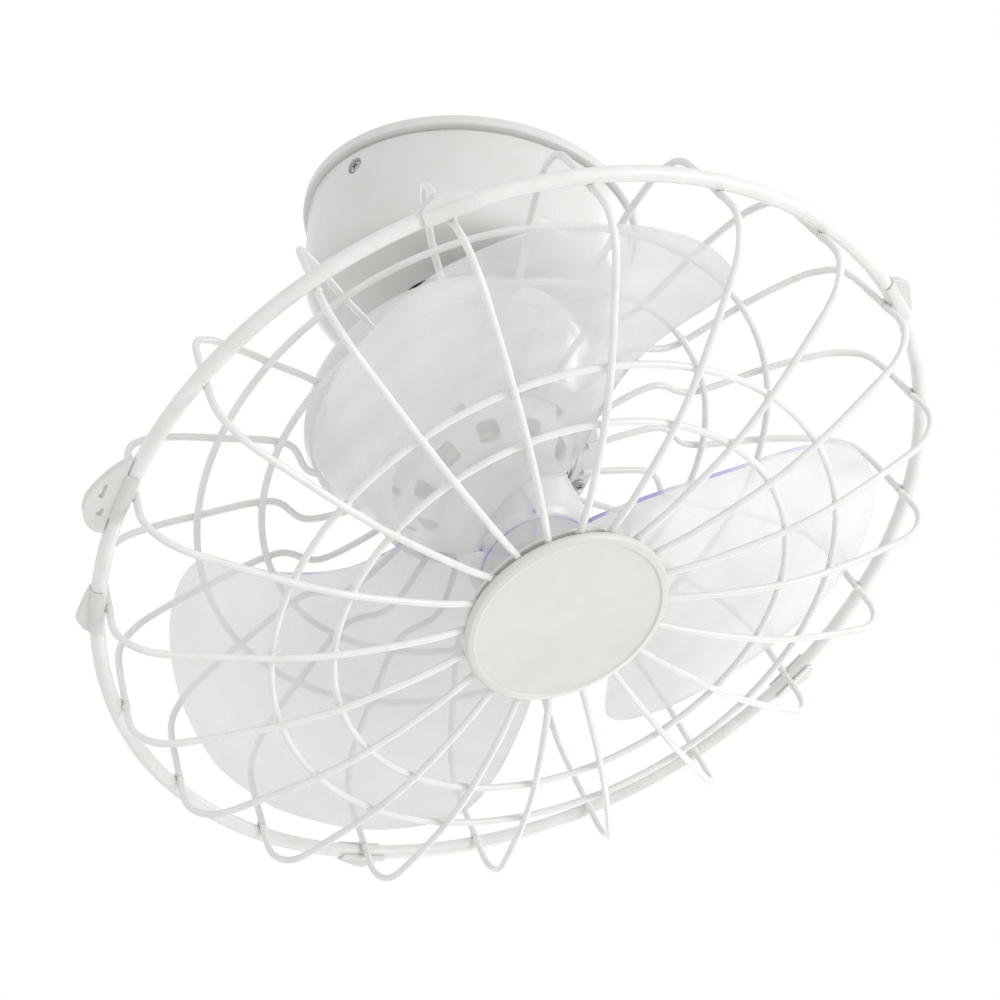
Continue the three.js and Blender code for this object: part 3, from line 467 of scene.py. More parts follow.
# ---------- Geometry nodes ----------
class Pattern(Graph):
    """A geometry tree with named inputs for its sizes, which ends in Realize Instances and Set Material."""

    SOCKETS = {float: "NodeSocketFloat", int: "NodeSocketInt"}

    def __init__(self, name, **inputs):
        tree = bpy.data.node_groups.new(name, "GeometryNodeTree")
        super().__init__(tree)
        tree.interface.new_socket("Geometry", in_out="INPUT", socket_type="NodeSocketGeometry")
        self.sizes = inputs
        self.identifiers = {}
        for key, value in inputs.items():
            kind = self.SOCKETS[type(value)]
            socket = tree.interface.new_socket(key, in_out="INPUT", socket_type=kind)
            self.identifiers[key] = socket.identifier
        tree.interface.new_socket("Geometry", in_out="OUTPUT", socket_type="NodeSocketGeometry")
        self.group = tree.nodes.new("NodeGroupInput")
        self.source = Value(self, self.group.outputs["Geometry"])

    def size(self, key):
        return Value(self, self.group.outputs[key])

    def around(self, geometry, count, first):
        """Copies of a geometry turned round the Z axis; first is in radians."""
        line = self.node("GeometryNodeMeshLine", {"mode": "OFFSET"}, {"Count": count, "Offset": (0, 0, 0)})
        turn = self.node("GeometryNodeInputIndex") * (math.tau / count) + first
        angle = self.node("ShaderNodeCombineXYZ", {}, {"Z": turn})
        sockets = {"Points": line, "Instance": geometry, "Rotation": angle}
        return self.node("GeometryNodeInstanceOnPoints", {}, sockets)

    def circle(self, radius, steps):
        return self.node("GeometryNodeCurvePrimitiveCircle", {}, {"Resolution": steps, "Radius": radius})

    def tube(self, curve, radius, sides=12):
        sockets = {"Curve": curve, "Profile Curve": self.circle(radius, sides), "Fill Caps": True}
        return self.node("GeometryNodeCurveToMesh", {}, sockets)

    def hoop(self, radius, height, thickness, steps=120, sides=12):
        """A closed ring of wire; the thickness is a radius in metres."""
        return self.move(self.tube(self.circle(radius * MM, steps), thickness, sides), (0, 0, height))

    def bead(self, radius, place, stretch):
        """A small lump of weld."""
        sockets = {"Segments": 10, "Rings": 7, "Radius": radius}
        return self.move(self.node("GeometryNodeMeshUVSphere", {}, sockets), place, stretch)

    def move(self, geometry, place, stretch=(1, 1, 1)):
        sockets = {"Geometry": geometry, "Translation": tuple(v * MM for v in place), "Scale": stretch}
        return self.node("GeometryNodeTransform", {}, sockets)

    def join(self, parts):
        return self.node("GeometryNodeJoinGeometry", {}, {"Geometry": parts})

    def finish(self, geometry, material, except_for=None):
        """The end of the tree; faces that already have the material except_for keep it."""
        real = self.node("GeometryNodeRealizeInstances", {}, {"Geometry": geometry})
        sockets = {"Geometry": real, "Material": material}
        if except_for:
            kept = self.node("GeometryNodeMaterialSelection", {}, {"Material": except_for})
            sockets["Selection"] = self.node("FunctionNodeBooleanMath", {"operation": "NOT"}, {0: kept})
        dressed = self.node("GeometryNodeSetMaterial", {}, sockets)
        self.node("NodeGroupOutput", {}, {"Geometry": dressed})
        return self

    def grow(self, mesh):
        """Runs the tree on a mesh and gives back a plain mesh."""
        made = loose(mesh)
        modifier = made.modifiers.new("pattern", "NODES")
        modifier.node_group = self.tree
        for key, value in self.sizes.items():
            modifier[self.identifiers[key]] = value
        return evaluated(made)


def ring_of(mesh, count, first, material, except_for=None):
    """Copies of a mesh round the Z axis, made one mesh; first is in degrees."""
    tree = Pattern("ring_of_pieces", First=math.radians(first))
    geometry = tree.around(tree.source, count, tree.size("First"))
    return tree.finish(geometry, material, except_for).grow(mesh)


def polyline(points):
    """A mesh of edges through points in millimetres, for a geometry tree to turn into a curve."""
    mesh = bpy.data.meshes.new("path")
    places = [tuple(v * MM for v in p) for p in points]
    mesh.from_pydata(places, [(i, i + 1) for i in range(len(places) - 1)], [])
    return mesh


# ---------- Screws ----------
SCREW_HEAD_RADIUS = 4
SCREW_SHANK_RADIUS = 1.9


def cross_screw(length):
    """A pan-head screw with a cross recess, its head on the XY plane and its shank below."""
    profile = rounded(
        [
            (0, 2.1),
            (2.4, 2.0, 3),
            (SCREW_HEAD_RADIUS, 1.3, 1.5),
            (SCREW_HEAD_RADIUS, 0, 0.3),
            (SCREW_SHANK_RADIUS, 0),
            (SCREW_SHANK_RADIUS, -length + 1.5),
            (0.6, -length),
            (0, -length),
        ],
        closed=False,
    )
    body = turned_mesh(profile, 32, closed=False)
    for sides in ((4.6, 1.0), (1.0, 4.6)):
        body = cut_away(body, prism(window(*sides, 0.3), 0.9, 3))
    return body


# ---------- Wire guard ----------
WIRE_END = 224.2
# One point of a spoke: radius, height from the ring plane and, behind, its swing round the axis in degrees.
FRONT_WIRE = [
    (49, 53.5),
    (80, 58),
    (124, 58.5),
    (155, 54),
    (190, 44.5),
    (214, 35.5),
    (225.5, 20),
    (WIRE_END, 0.2),
]
REAR_WIRE = [
    (59, -61.5, 9),
    (101, -61.5, 9),
    (122, -62, 0),
    (163, -58.5),
    (190, -54),
    (207, -48),
    (219, -35),
    (WIRE_END, -0.2),
]
FRONT_HOOPS = (124, 155)
REAR_HOOPS = (128, 164)
HOOP_SINK = 1.75  # from a spoke's centre line to its hoop's, in radii of the wire
WELD_RADIUS = 1.9
WIRE_STEPS = 90
GUARD_PLATE = {"inner": 53.7, "outer": 65.7, "back": RING_PLANE - 64, "thickness": 2}
GUARD_SCREWS = {"circle": 59.7, "count": 4, "first": 29.5}


def spoke_path(wire):
    """The line of one spoke, from its inner end to the ring."""
    made = []
    for radius, height, *swing in wire:
        angle = math.radians(swing[0] if swing else 0)
        made.append((radius * math.cos(angle), radius * math.sin(angle), RING_PLANE + height))
    return polyline(made)


def on_wire(wire, radius):
    """Height and slope of a spoke at a radius."""
    for (r0, z0, *_), (r1, z1, *_) in zip(wire, wire[1:]):
        if r0 <= radius <= r1:
            slope = (z1 - z0) / (r1 - r0)
            return z0 + slope * (radius - r0), slope
    raise ValueError(radius)


def cage(name, wire, hoops, side):
    """Spokes of one bent path turned round the axis, with hoops welded to their inner side.
    The side is 1 in front, where a small hoop also joins the inner ends, and -1 behind."""
    first = math.radians(WIRE_FIRST)
    tree = Pattern(name, Wire=WIRE_RADIUS * MM, Weld=WELD_RADIUS * MM, Steps=WIRE_STEPS)
    curve = tree.node("GeometryNodeMeshToCurve", {}, {"Mesh": tree.source})
    bent = tree.node("GeometryNodeCurveSplineType", {"spline_type": "CATMULL_ROM"}, {"Curve": curve})
    path = tree.node("GeometryNodeResampleCurve", {}, {"Curve": bent, "Count": tree.size("Steps")})
    parts = [tree.around(tree.tube(path, tree.size("Wire")), WIRE_COUNT, first)]
    welds = [(GUARD_RADIUS - RING_TUBE - 1.4, side * 2.4)]
    for radius in hoops:
        height, slope = on_wire(wire, radius)
        drop = side * HOOP_SINK * WIRE_RADIUS * math.hypot(1, slope)
        parts.append(tree.hoop(radius, RING_PLANE + height - drop, tree.size("Wire")))
        welds.append((radius, height - drop / 2))
    for radius, height in welds:
        bead = tree.bead(tree.size("Weld"), (radius, 0, RING_PLANE + height), (1.25, 1.25, 0.9))
        parts.append(tree.around(bead, WIRE_COUNT, first))
    if side > 0:
        parts.append(tree.hoop(wire[0][0] + 0.6, RING_PLANE + wire[0][1], tree.size("Wire")))
    return tree.finish(tree.join(parts), WIRE_WHITE).grow(spoke_path(wire))


def make_guards():
    front = cage("front_cage", FRONT_WIRE, FRONT_HOOPS, 1)
    nodes = ["front_guard", "front_hoop_1", "front_hoop_2"]
    piece("front_wires", "head", WIRE_WHITE, smooth(front), HEAD, nodes)
    rear = cage("rear_cage", REAR_WIRE, REAR_HOOPS, -1)
    nodes = ["rear_guard", "rear_hoop_1", "rear_hoop_2"]
    piece("rear_wires", "head", WIRE_WHITE, smooth(rear), HEAD, nodes)

    tree = Pattern("edge_ring", Tube=RING_TUBE * MM)
    ring = tree.hoop(GUARD_RADIUS, RING_PLANE, tree.size("Tube"), 220, 20)
    mesh = tree.finish(ring, WIRE_WHITE).grow(polyline([(0, 0, 0), (0, 0, 1)]))
    piece("edge_ring", "head", WIRE_WHITE, smooth(mesh), HEAD, ["guard_ring"])

    inner, outer, back, thickness = GUARD_PLATE.values()
    corners = [(inner, back), (outer, back), (outer, back + thickness), (inner, back + thickness)]
    plate = turned_mesh(rounded([(*corner, 0.7) for corner in corners]), 128)
    piece("guard_plate", "head", WIRE_WHITE, plate, HEAD)
    place = shift(GUARD_SCREWS["circle"], 0, back + thickness + 0.3)
    screws = ring_of(placed(cross_screw(7), place), GUARD_SCREWS["count"], GUARD_SCREWS["first"], STEEL)
    nodes = [f"guard_screw_{i + 1}" for i in range(GUARD_SCREWS["count"])]
    piece("guard_plate_screws", "head", STEEL, screws, HEAD, nodes)


def smooth(mesh):
    mesh.shade_smooth()
    mesh.set_sharp_from_angle(angle=math.radians(50))
    return mesh


# ---------- Clips on the ring ----------
CLIP_COUNT = 5
CLIP_INNER = RING_TUBE + 0.3
CLIP_OUTER = CLIP_INNER + 1.4
CLIP_ROOT = CLIP_OUTER - 1
CLIP_WRAP = 105  # degrees that the sleeve goes round the ring on either side
CLIP_LENGTH = 27
CLIP_TAB = 4
LATCH_REACH = 19
LATCH_HALF = 23
LATCH_ANGLE = 209.5
LATCH_WINDOWS = [
    [(9, 6.5), (12.5, 12), (9, 13.5)],
    [(12, 2.5), (14.5, 2), (13.5, -6), (12, -6)],
]


def clip_sleeve():
    """A C-shaped sleeve round the ring, open towards the wires."""
    steps = 18
    turns = [math.radians(CLIP_WRAP * (2 * k / steps - 1)) for k in range(steps + 1)]
    section = [(CLIP_OUTER * math.cos(t), CLIP_OUTER * math.sin(t)) for t in turns]
    section += [(CLIP_INNER * math.cos(t), CLIP_INNER * math.sin(t)) for t in reversed(turns)]
    sleeve = bevelled(prism(section, -CLIP_LENGTH / 2, CLIP_LENGTH / 2), 0.5)
    return placed(sleeve, spin(90, "X"))


def on_ring(mesh):
    """A clip moved out to the ring, with its sleeve snug on the outside."""
    return placed(mesh, shift(GUARD_RADIUS - 0.7, 0, RING_PLANE))


def make_clips():
    root, end = CLIP_ROOT, CLIP_LENGTH / 2
    outline = [(root, -end), (root, end), (root + 3, end - 2), (root + 6.8, 5)]
    outline += bezier([(root + 6.8, 5), (root + 4.6, -5), (root + 1, -end)])
    thumb = bevelled(prism(outline, -CLIP_TAB / 2, CLIP_TAB / 2), 1.1)
    clips = ring_of(on_ring(together(clip_sleeve(), thumb)), CLIP_COUNT, WIRE_FIRST, WHITE)
    nodes = [f"guard_clip_{i + 1}" for i in range(CLIP_COUNT)]
    piece("ring_clips", "head", WHITE, clips, HEAD, nodes)

    low, high, tip = (root, -LATCH_HALF), (root, LATCH_HALF), (LATCH_REACH, 0)
    outline = [low, high]
    outline += bezier([high, (LATCH_REACH - 3, LATCH_HALF + 1), (LATCH_REACH + 3, 8), tip])
    outline += bezier([tip, (LATCH_REACH - 3, -10), (root + 6, -LATCH_HALF + 5), low])
    lever = prism(outline[:-1], -CLIP_TAB / 2, CLIP_TAB / 2)
    for corners in LATCH_WINDOWS:
        hole = rounded([(*corner, 1.2) for corner in corners])
        lever = cut_away(lever, prism(hole, -CLIP_TAB, CLIP_TAB))
    latch = on_ring(together(clip_sleeve(), bevelled(lever, 1.0)))
    place = HEAD @ spin(LATCH_ANGLE)
    piece("ring_latch", "head", WHITE, latch, place, ["guard_latch"])


# ---------- Ceiling cup ----------
CUP_DEPTH = 64
CUP_MOUTH = 36
CUP_SCREWS = {"angles": (225, 345, 105), "drop": 17, "seat": 92.2}


def make_cup():
    rim, neck, mouth = 98.5, 92.5, CUP_MOUTH
    profile = rounded(
        [
            (rim, 0, 0.5),
            (neck - WALL, 0, 0.3),
            (89.7, -CUP_DEPTH + WALL, 12.7),
            (mouth, -CUP_DEPTH + WALL, 0.9),
            (mouth, -CUP_DEPTH, 0.9),
            (92, -CUP_DEPTH, 15),
            (95, -7.5, 0.9),
            (neck, -7.5, 0.3),
            (neck, -5.5, 0.3),
            (rim, -5.5, 1.4),
        ]
    )
    cup = turned_mesh(profile, 180)
    angles, drop, seat = CUP_SCREWS.values()
    for angle in angles:
        recess = turned_mesh([(0, 91.9), (5, 91.9), (5.4, 101), (0, 101)], 40, closed=False)
        outwards = spin(angle) @ shift(0, 0, -drop) @ spin(90, "Y")
        cup = cut_away(cup, placed(recess, outwards))
    piece("ceiling_cup_cover", "base", WHITE, cup, WORLD, ["ceiling_cup"])

    for i, angle in enumerate(angles, 1):
        outwards = spin(angle) @ shift(seat, 0, -drop) @ spin(90, "Y")
        screw = cross_screw(10.5)
        piece(f"cup_cross_screw_{i}", "base", STEEL, screw, outwards, [f"cup_screw_{i}"])


# ---------- Motor housing ----------
# Outline of the housing: radius, height from the ring plane, fillet.
HOUSING = [
    (31, -151),
    (52, -148, 10),
    (71, -140.5, 12),
    (82.5, -131, 12),
    (86, -121, 12),
    (84.5, -112, 9),
    (80, -105, 9),
    (64.5, -80, 12),
    (47.5, -57, 12),
    (35, -40, 5),
    (20, -36, 2),
]
SEAM = 9
VENTS = {
    "inner": {"circle": 40.5, "length": 8.5, "width": 12, "corner": 2.2, "first": 6},
    "outer": {"circle": 51.5, "length": 5, "width": 6.5, "corner": 1.4, "first": 18},
}
VENT_COUNT = 10
LUG = {"radius": 5, "foot": 5.4, "depth": 17}
HUB_SCREWS = {"circle": 60, "height": 17.8, "length": 14, "count": 3}


def housing_radius(height):
    """Radius of the housing's outside at a height."""
    outline = [(r, z + RING_PLANE) for r, z, *_ in HOUSING]
    for (r0, z0), (r1, z1) in zip(outline, outline[1:]):
        if z0 <= height <= z1:
            return r0 + (r1 - r0) * (height - z0) / (z1 - z0)
    raise ValueError(height)


def housing_height(radius):
    """Height of the housing's tapering front at a radius."""
    taper = [(r, z + RING_PLANE) for r, z, *_ in HOUSING[4:]]
    for (r0, z0), (r1, z1) in zip(taper, taper[1:]):
        if r1 <= radius <= r0:
            return z0 + (z1 - z0) * (radius - r0) / (r1 - r0)
    raise ValueError(radius)


def make_housing():
    outline = [(point[0], point[1] + RING_PLANE, *point[2:]) for point in HOUSING]
    back = [point for point in outline if point[1] < SEAM - 1]
    edge = [(housing_radius(SEAM), SEAM - 0.6, 0.4), (housing_radius(SEAM) - 0.5, SEAM)]
    rear = shell_mesh(rounded(back + edge, closed=False))
    piece("rear_housing_cover", "head", WHITE, rear, HEAD, ["rear_housing"])

    start = SEAM + 0.3
    fore = [point for point in outline if point[1] > start + 1]
    edge = [(housing_radius(start) - 0.5, start), (housing_radius(start), start + 0.6, 0.4)]
    front = shell_mesh(rounded(edge + fore + [(9.3, outline[-1][1])], closed=False))
    for vent in VENTS.values():
        rise = housing_height(vent["circle"])
        hole = prism(window(vent["length"], vent["width"], vent["corner"]), -9, 9)
        holes = ring_of(placed(hole, shift(vent["circle"], 0, rise)), VENT_COUNT, vent["first"], WHITE)
        front = cut_away(front, holes)
    top = GUARD_PLATE["back"] - 0.3
    radius, foot, depth = LUG.values()
    profile = rounded([(0, top), (radius, top, 0.8), (foot, top - depth), (0, top - depth)], closed=False)
    lug = placed(turned_mesh(profile, 32, closed=False), shift(GUARD_SCREWS["circle"], 0, 0))
    lugs = ring_of(lug, GUARD_SCREWS["count"], GUARD_SCREWS["first"], WHITE)
    cover = together(front, lugs)
    piece("front_housing_cover", "head", WHITE, cover, HEAD, ["front_housing"])

    circle, height, length, count = HUB_SCREWS.values()
    screws = ring_of(placed(cross_screw(length), shift(circle, 0, height)), count, 0, STEEL)
    nodes = [f"hub_screw_{i + 1}" for i in range(count)]
    piece("hub_plate_screws", "head", STEEL, screws, HEAD, nodes)


# ---------- Front cap ----------
CAP_BACK = RING_PLANE + on_wire(FRONT_WIRE, CAP_RADIUS)[0] + WIRE_RADIUS + 0.3


def make_cap():
    back = CAP_BACK
    profile = rounded(
        [
            (0, back + 4.0),
            (50.8, back + 3.5, 2),
            (51.6, back + 4.4, 0.6),
            (54.8, back + 3.9, 1.5),
            (CAP_RADIUS, back + 2.2, 1.2),
            (CAP_RADIUS, back, 0.5),
            (CAP_RADIUS - WALL, back, 0.5),
            (CAP_RADIUS - WALL - 1, back + 1.5, 0.8),
            (0, back + 1.8),
        ],
        closed=False,
    )
    disc = turned_mesh(profile, 160, 50, closed=False)
    piece("front_cap_disc", "head", CAP_WHITE, disc, HEAD, ["front_cap"])

    front = RING_PLANE + FRONT_WIRE[0][1] - WIRE_RADIUS - 0.3
    boss = back + 1.4
    profile = rounded(
        [
            (0, front - 2.5),
            (CAP_RADIUS - 3, front - 2.5, 0.8),
            (CAP_RADIUS - 3, front, 0.8),
            (9, front, 1),
            (9, boss, 0.6),
            (0, boss),
        ],
        closed=False,
    )
    disc = turned_mesh(profile, 128, closed=False)
    piece("cap_clamp_disc", "head", WHITE, disc, HEAD, ["cap_backplate"])
    screw = placed(cross_screw(6), shift(0, 0, front - 2.8) @ spin(180, "X"))
    piece("cap_cross_screw", "head", STEEL, screw, HEAD, ["cap_screw"])


# ---------- Blades ----------
# The blade's sheet: radius, angle and height of its leading edge, angle and height of its trailing edge.
BLADE_SHEET = [
    (35, -50.5, -19.4, 63.6, 13),
    (60, -40, -15, 61, 20),
    (90, -32, -12, 56, 25),
    (112, -33, -13, 52, 27),
    (136, -36, -13, 49.5, 27),
    (160, -41, -13, 46.5, 27),
    (176, -43, -13, 43, 26),
]
# Its rounded tip, trimmed out of the sheet's last row: radius, leading angle, trailing angle.
BLADE_TIP = [(187, -38, 36), (195, -28, 30), (201, -14, 22), (204.5, -2, 13)]
BLADE_COUNT = 3
BLADE_FIRST = 26  # degrees
BLADE_CAMBER = 4
BLADE_THICKNESS = 2.2
BLADE_COLUMNS = 13
HUB = {"radius": 36.8, "back": RING_PLANE - 32, "front": RING_PLANE + 14, "bore": 4.3, "boss": 9, "ribs": 6}


def height_on_sheet(sheet, angle):
    """Height from the ring plane of a cambered row of the sheet at an angle."""
    _, leading, low, trailing, high = sheet
    share = (angle - leading) / (trailing - leading)
    return low + (high - low) * share - BLADE_CAMBER * math.sin(math.pi * share)


def blade_sheet():
    rows = [(sheet[0], sheet[1], sheet[3], sheet) for sheet in BLADE_SHEET]
    rows += [(radius, leading, trailing, BLADE_SHEET[-1]) for radius, leading, trailing in BLADE_TIP]
    work = bmesh.new()
    grid = []
    for radius, leading, trailing, sheet in rows:
        row = []
        for u in range(BLADE_COLUMNS):
            angle = leading + (trailing - leading) * u / (BLADE_COLUMNS - 1)
            turn = math.radians(angle)
            height = RING_PLANE + height_on_sheet(sheet, angle)
            row.append(work.verts.new((radius * math.cos(turn), radius * math.sin(turn), height)))
        grid.append(row)
    for one, two in zip(grid, grid[1:]):
        for u in range(BLADE_COLUMNS - 1):
            work.faces.new((one[u], two[u], two[u + 1], one[u + 1]))
    return mesh_of(work)


def make_blades():
    sheet = blade_sheet()
    sheet.materials.append(CLEAR)
    sheet.materials.append(EDGE)
    made = loose(sheet)
    smoothing = made.modifiers.new("smooth", "SUBSURF")
    smoothing.levels = smoothing.render_levels = 2
    thick = made.modifiers.new("thick", "SOLIDIFY")
    thick.thickness = BLADE_THICKNESS * MM
    thick.offset = 0
    thick.material_offset_rim = 1
    blade = bevelled(evaluated(made), 0.7, 50, 2)
    mesh = ring_of(blade, BLADE_COUNT, BLADE_FIRST, CLEAR, EDGE)
    piece("blades", "rotor", CLEAR, mesh, HEAD, ["blade_set"])


def make_blade_hub():
    radius, back, front, bore, boss, ribs = HUB.values()
    cup = rounded(
        [
            (radius, back, 0.6),
            (radius - 0.8, front - 4, 3),
            (radius - 5, front, 2.5),
            (bore, front, 0.3),
            (bore, front - 26, 0.3),
            (boss, front - 26, 0.6),
            (boss - 0.2, front - WALL, 1),
            (radius - 5.6, front - WALL, 2),
            (radius - WALL - 0.8, front - 5, 1.5),
            (radius - WALL, back, 0.6),
        ]
    )
    shell = turned_mesh(cup, 128)
    piece("blade_hub", "rotor", HUB_CLEAR_PAINTED_LIGHT, shell, HEAD)
    inner, outer, half, rim = boss - 0.5, radius - 1.6, 0.7, 0.9
    rib = bevelled(prism([(inner, -half), (outer, -half), (outer, half), (inner, half)], 0, 24), 0.3)
    edges = [ring_of(placed(rib, shift(0, 0, front - 25.5)), ribs, BLADE_FIRST, EDGE)]
    for r, z in ((radius + 0.2, back - 0.2), (radius - 5.6, front - 0.7)):
        corners = [(r - rim, z), (r, z), (r, z + rim), (r - rim, z + rim)]
        edges.append(turned_mesh(rounded([(*corner, 0.3) for corner in corners]), 128))
    edges = together(*edges)
    piece("hub_edges", "rotor", EDGE, edges, HEAD)


def make_spinner():
    """The nut that holds the blades: a clear knob with finger grooves, turned by hand."""
    low, height, radius = HUB["front"] + 0.3, 14, 15
    profile = rounded(
        [
            (0, low + height - 2.5),
            (HUB["bore"], low + height - 2.5, 0.3),
            (HUB["bore"], low, 0.3),
            (radius, low, 0.8),
            (radius, low + 0.45 * height, 3),
            (0.7 * radius, low + 0.85 * height, 4),
            (0, low + height),
        ],
        closed=False,
    )
    knob = turned_mesh(profile, 96, closed=False)
    top, bottom, width = low + height, low - 1, 1.6
    groove = turned_mesh([(0, bottom), (width, bottom), (width, top), (0, top)], 20, closed=False)
    grooves = ring_of(placed(groove, shift(radius + 0.9, 0, 0)), 9, 0, CLEAR)
    piece("blade_knob", "rotor", HUB_CLEAR_PAINTED_LIGHT, cut_away(knob, grooves), HEAD, ["blade_nut"])


# ---------- Crank and bearing ----------
CRANK = {"radius": 6, "top": -34.5, "bottom": -131, "knuckle": 11, "pin": 8, "pin_length": 31}
BEARING = {"outer": 14, "bore": 6.3, "top": -39, "width": 8}


def make_crank():
    radius, top, bottom, knuckle, pin, length = CRANK.values()
    bore, floor = 3.8, top - 13
    outline = [(0, bottom), (radius, bottom), (radius, top, 0.9), (bore, top, 0.3), (bore, floor), (0, floor)]
    shaft = turned_mesh(rounded(outline, closed=False), 64, closed=False)
    arc = [math.radians(-90 + 180 * k / 24) for k in range(25)]
    ball = turned_mesh([(knuckle * math.cos(t), knuckle * math.sin(t)) for t in arc], 64, closed=False)
    outline = [(0, 0), (pin, 0), (pin, length, 1), (0, length)]
    peg = turned_mesh(rounded(outline, closed=False), 64, closed=False)
    crank = together(shaft, placed(ball, shift(0, 0, bottom)), placed(peg, HEAD))
    piece("bent_crank", "crank", STEEL, crank, WORLD, ["crank_shaft"])
    collar = rounded([(8.3, 26.3, 0.4), (13, 26.3, 0.6), (13, 30, 0.6), (8.3, 30, 0.4)])
    piece("crank_collar", "crank", STEEL, turned_mesh(collar, 64), HEAD, ["pin_collar"])


def make_bearing():
    outer, bore, top, width = BEARING.values()
    low = top - width
    profile = []
    for z, sign in ((low, 1), (top, -1)):
        shield = z + sign * 0.5
        face = [(bore, z, 0.5), (bore + 2.2, z, 0.2), (bore + 2.4, shield)]
        face += [(outer - 2.4, shield), (outer - 2.2, z, 0.2), (outer, z, 0.5)]
        profile += face if sign > 0 else face[::-1]
    ring = turned_mesh(rounded(profile), 96)
    piece("orbit_bearing", "base", STEEL, ring, WORLD, ["main_bearing"])


# ---------- Mounting plate and what hangs from it ----------
PLATE = {"radius": 87.7, "thickness": 2, "keyholes": 110, "cable_hole": 11, "cable_offset": 61.85}


def make_plate():
    radius, thickness, spacing, cable, offset = PLATE.values()
    corners = [(0, 0), (radius, 0, 0.6), (radius, -thickness, 0.6), (0, -thickness)]
    plate = turned_mesh(rounded(corners, closed=False), 160, closed=False)
    hole = turned_mesh([(0, -5), (cable, -5), (cable, 5), (0, 5)], 64, closed=False)
    holes = [placed(hole, shift(-offset, 0, 0))]
    for side in (-1, 1):
        eye = turned_mesh([(0, -5), (4.5, -5), (4.5, 5), (0, 5)], 40, closed=False)
        holes.append(placed(eye, shift(0, side * spacing / 2, 0)))
        slot = prism(window(16, 5, 2.4), -5.1, 5.1)
        holes.append(placed(slot, shift(4, side * spacing / 2, 0)))
    for hole in holes:
        plate = cut_away(plate, hole)
    tab = bevelled(prism(window(2.5, 18, 0.6), -25, -thickness / 2), 0.5)
    tabs = [placed(tab.copy(), spin(angle) @ shift(radius - 2, 0, 0)) for angle in CUP_SCREWS["angles"]]
    plate = together(plate, *tabs)
    piece("ceiling_plate", "base", ZINC, plate, WORLD, ["mounting_plate"])


def softened(name, made_name, body, material, width=0.6):
    """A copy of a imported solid, its flat facets merged and its edges rounded, in the solid's place."""
    work = bmesh.new()
    work.from_mesh(frame["nodes"][name].data)
    bmesh.ops.remove_doubles(work, verts=work.verts, dist=2e-5)
    bmesh.ops.dissolve_limit(work, angle_limit=math.radians(1), verts=work.verts, edges=work.edges)
    for face in work.faces:
        face.smooth = True
    mesh = bpy.data.meshes.new(made_name)
    work.to_mesh(mesh)
    work.free()
    piece(made_name, body, material, bevelled(mesh, width), WORLD, [name])


def make_inner_pieces():
    softened("support_bracket", "bearing_bracket", "base", ZINC)
    softened("orbit_motor", "orbit_gearmotor", "base", ZINC, 0.4)
    softened("run_capacitor", "capacitor_box", "base", DARK, 1.0)
    softened("terminal_block", "wire_terminals", "base", WHITE, 1.0)


# ---------- Solids that keep their own shape ----------
LOOKS = {
    "head_hub": ZINC,
    "motor_frame": ZINC,
    "stator_winding": COPPER,
    "head_bush": BRONZE,
    "front_bearing": BRONZE,
    "rear_bearing": BRONZE,
}


def dress_nodes():
    for name, node in frame["nodes"].items():
        node.data.materials.clear()
        node.data.materials.append(LOOKS.get(name, STEEL))


# ---------- Stage and camera, in metres ----------
RAYS = ("Camera", "Glossy", "Transmission")
AMBIENT = 0.83
FLOOR_HEIGHT = -2.6
LAMP_AIM = Vector((0.05, -0.03, -0.18))
# Name, place, width and watts.
LAMPS = [
    ("key", (1.7, -1.1, -0.3), 0.7, 14),
    ("window", (1.05, 1.65, -1.05), 1.0, 9),
    ("fill", (-1.5, -1.4, -1.3), 1.6, 3),
    ("back", (-0.4, 1.8, 0.3), 1.6, 6),
    ("gleam", (1.5, 0.6, 0.88), 0.4, 6),
]
VIEW = {"rise": 31.6, "roll": 5, "lens": 92.09, "aim": (0.0307, 0, -0.1865), "distance": 1.4}


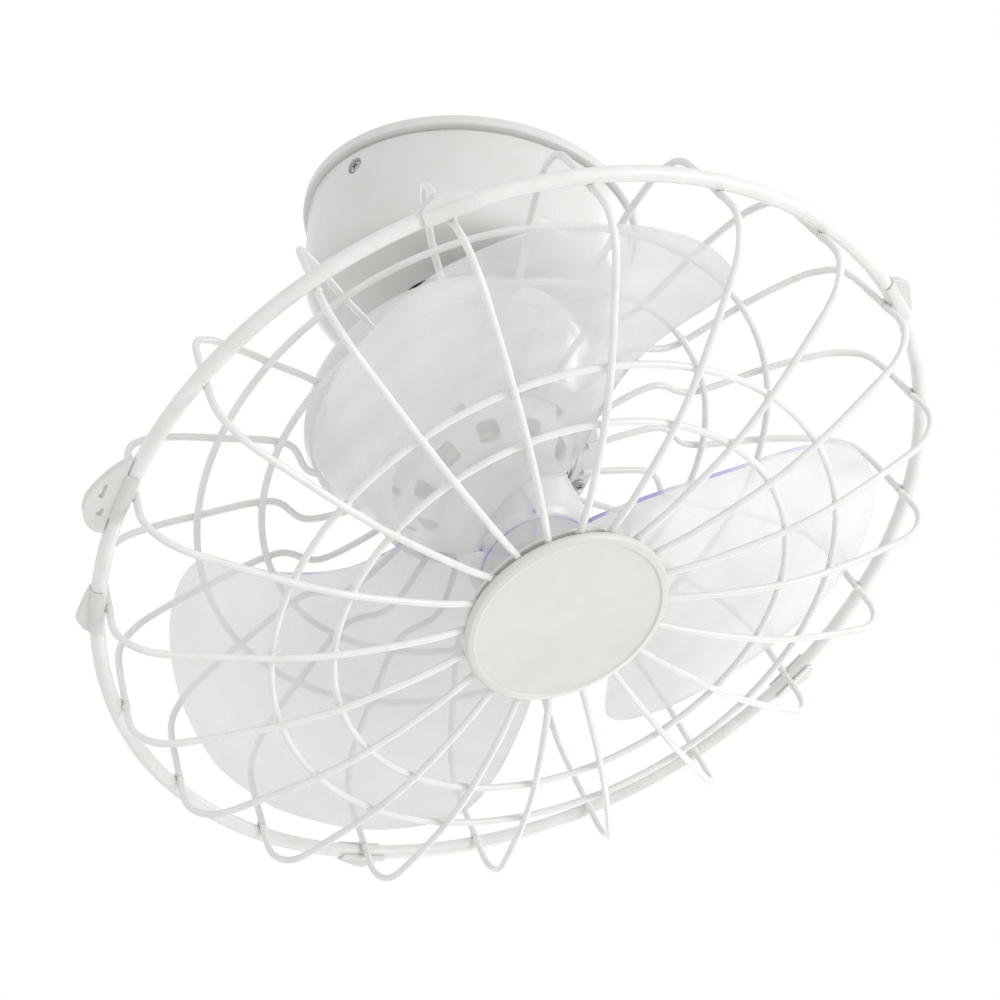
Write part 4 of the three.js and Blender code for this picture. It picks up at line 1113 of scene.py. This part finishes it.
def make_stage():
    """A white world that lights less than it shows, a pale floor far below and the lamps."""
    world = bpy.data.worlds.new("plain_light")
    world.use_nodes = True
    bpy.context.scene.world = world
    graph = Graph(world.node_tree)
    path = graph.tree.nodes.new("ShaderNodeLightPath")
    camera, glossy, through = [Value(graph, path.outputs[f"Is {ray} Ray"]) for ray in RAYS]
    seen = camera.math("MAXIMUM", glossy * 0.75).math("MAXIMUM", through)
    background = graph.tree.nodes["Background"]
    background.inputs["Color"].default_value = (1, 1, 1, 1)
    graph.feed(background.inputs["Strength"], seen.math("MAXIMUM", AMBIENT))

    work = bmesh.new()
    bmesh.ops.create_grid(work, x_segments=1, y_segments=1, size=9000)
    floor = bpy.data.objects.new("floor", mesh_of(work))
    floor.data.transform(Matrix.Translation((0, 0, FLOOR_HEIGHT)))
    pale = Finish("pale_floor", Roughness=0.9)
    pale.set("Base Color", pale.mix(pale.noise(900, 2), grey(240, 1), grey(246, 1)))
    floor.data.materials.append(pale.material)
    bpy.context.scene.collection.objects.link(floor)

    for name, place, size, power in LAMPS:
        lamp = bpy.data.lights.new(name, "AREA")
        lamp.size = size
        lamp.energy = power
        made = bpy.data.objects.new(name, lamp)
        made.location = place
        made.rotation_mode = "QUATERNION"
        made.rotation_quaternion = (LAMP_AIM - Vector(place)).to_track_quat("-Z", "Y")
        bpy.context.scene.collection.objects.link(made)


def make_camera():
    """The photograph's view, fitted to the ceiling cup's ellipses and the guard's ring."""
    rise, roll = math.radians(VIEW["rise"]), math.radians(VIEW["roll"])
    ahead = Vector((0, math.cos(rise), math.sin(rise)))
    level, up = Vector((1, 0, 0)), Vector((0, -math.sin(rise), math.cos(rise)))
    right = level * math.cos(roll) + up * math.sin(roll)
    top = up * math.cos(roll) - level * math.sin(roll)
    data = bpy.data.cameras.new("camera")
    data.sensor_width = 36
    data.lens = VIEW["lens"]
    data.clip_start, data.clip_end = 0.05, 60
    camera = bpy.data.objects.new("camera", data)
    bpy.context.scene.collection.objects.link(camera)
    turn = Matrix((right, top, -ahead)).transposed().to_4x4()
    place = Vector(VIEW["aim"]) - ahead * VIEW["distance"]
    camera.matrix_world = Matrix.Translation(place) @ turn
    bpy.context.scene.camera = camera


make_camera()
make_stage()
dress_nodes()
make_guards()
make_clips()
make_cup()
make_housing()
make_cap()
make_blades()
make_blade_hub()
make_spinner()
make_crank()
make_bearing()
make_plate()
make_inner_pieces()
bpy.context.scene.view_settings.view_transform = "Standard"
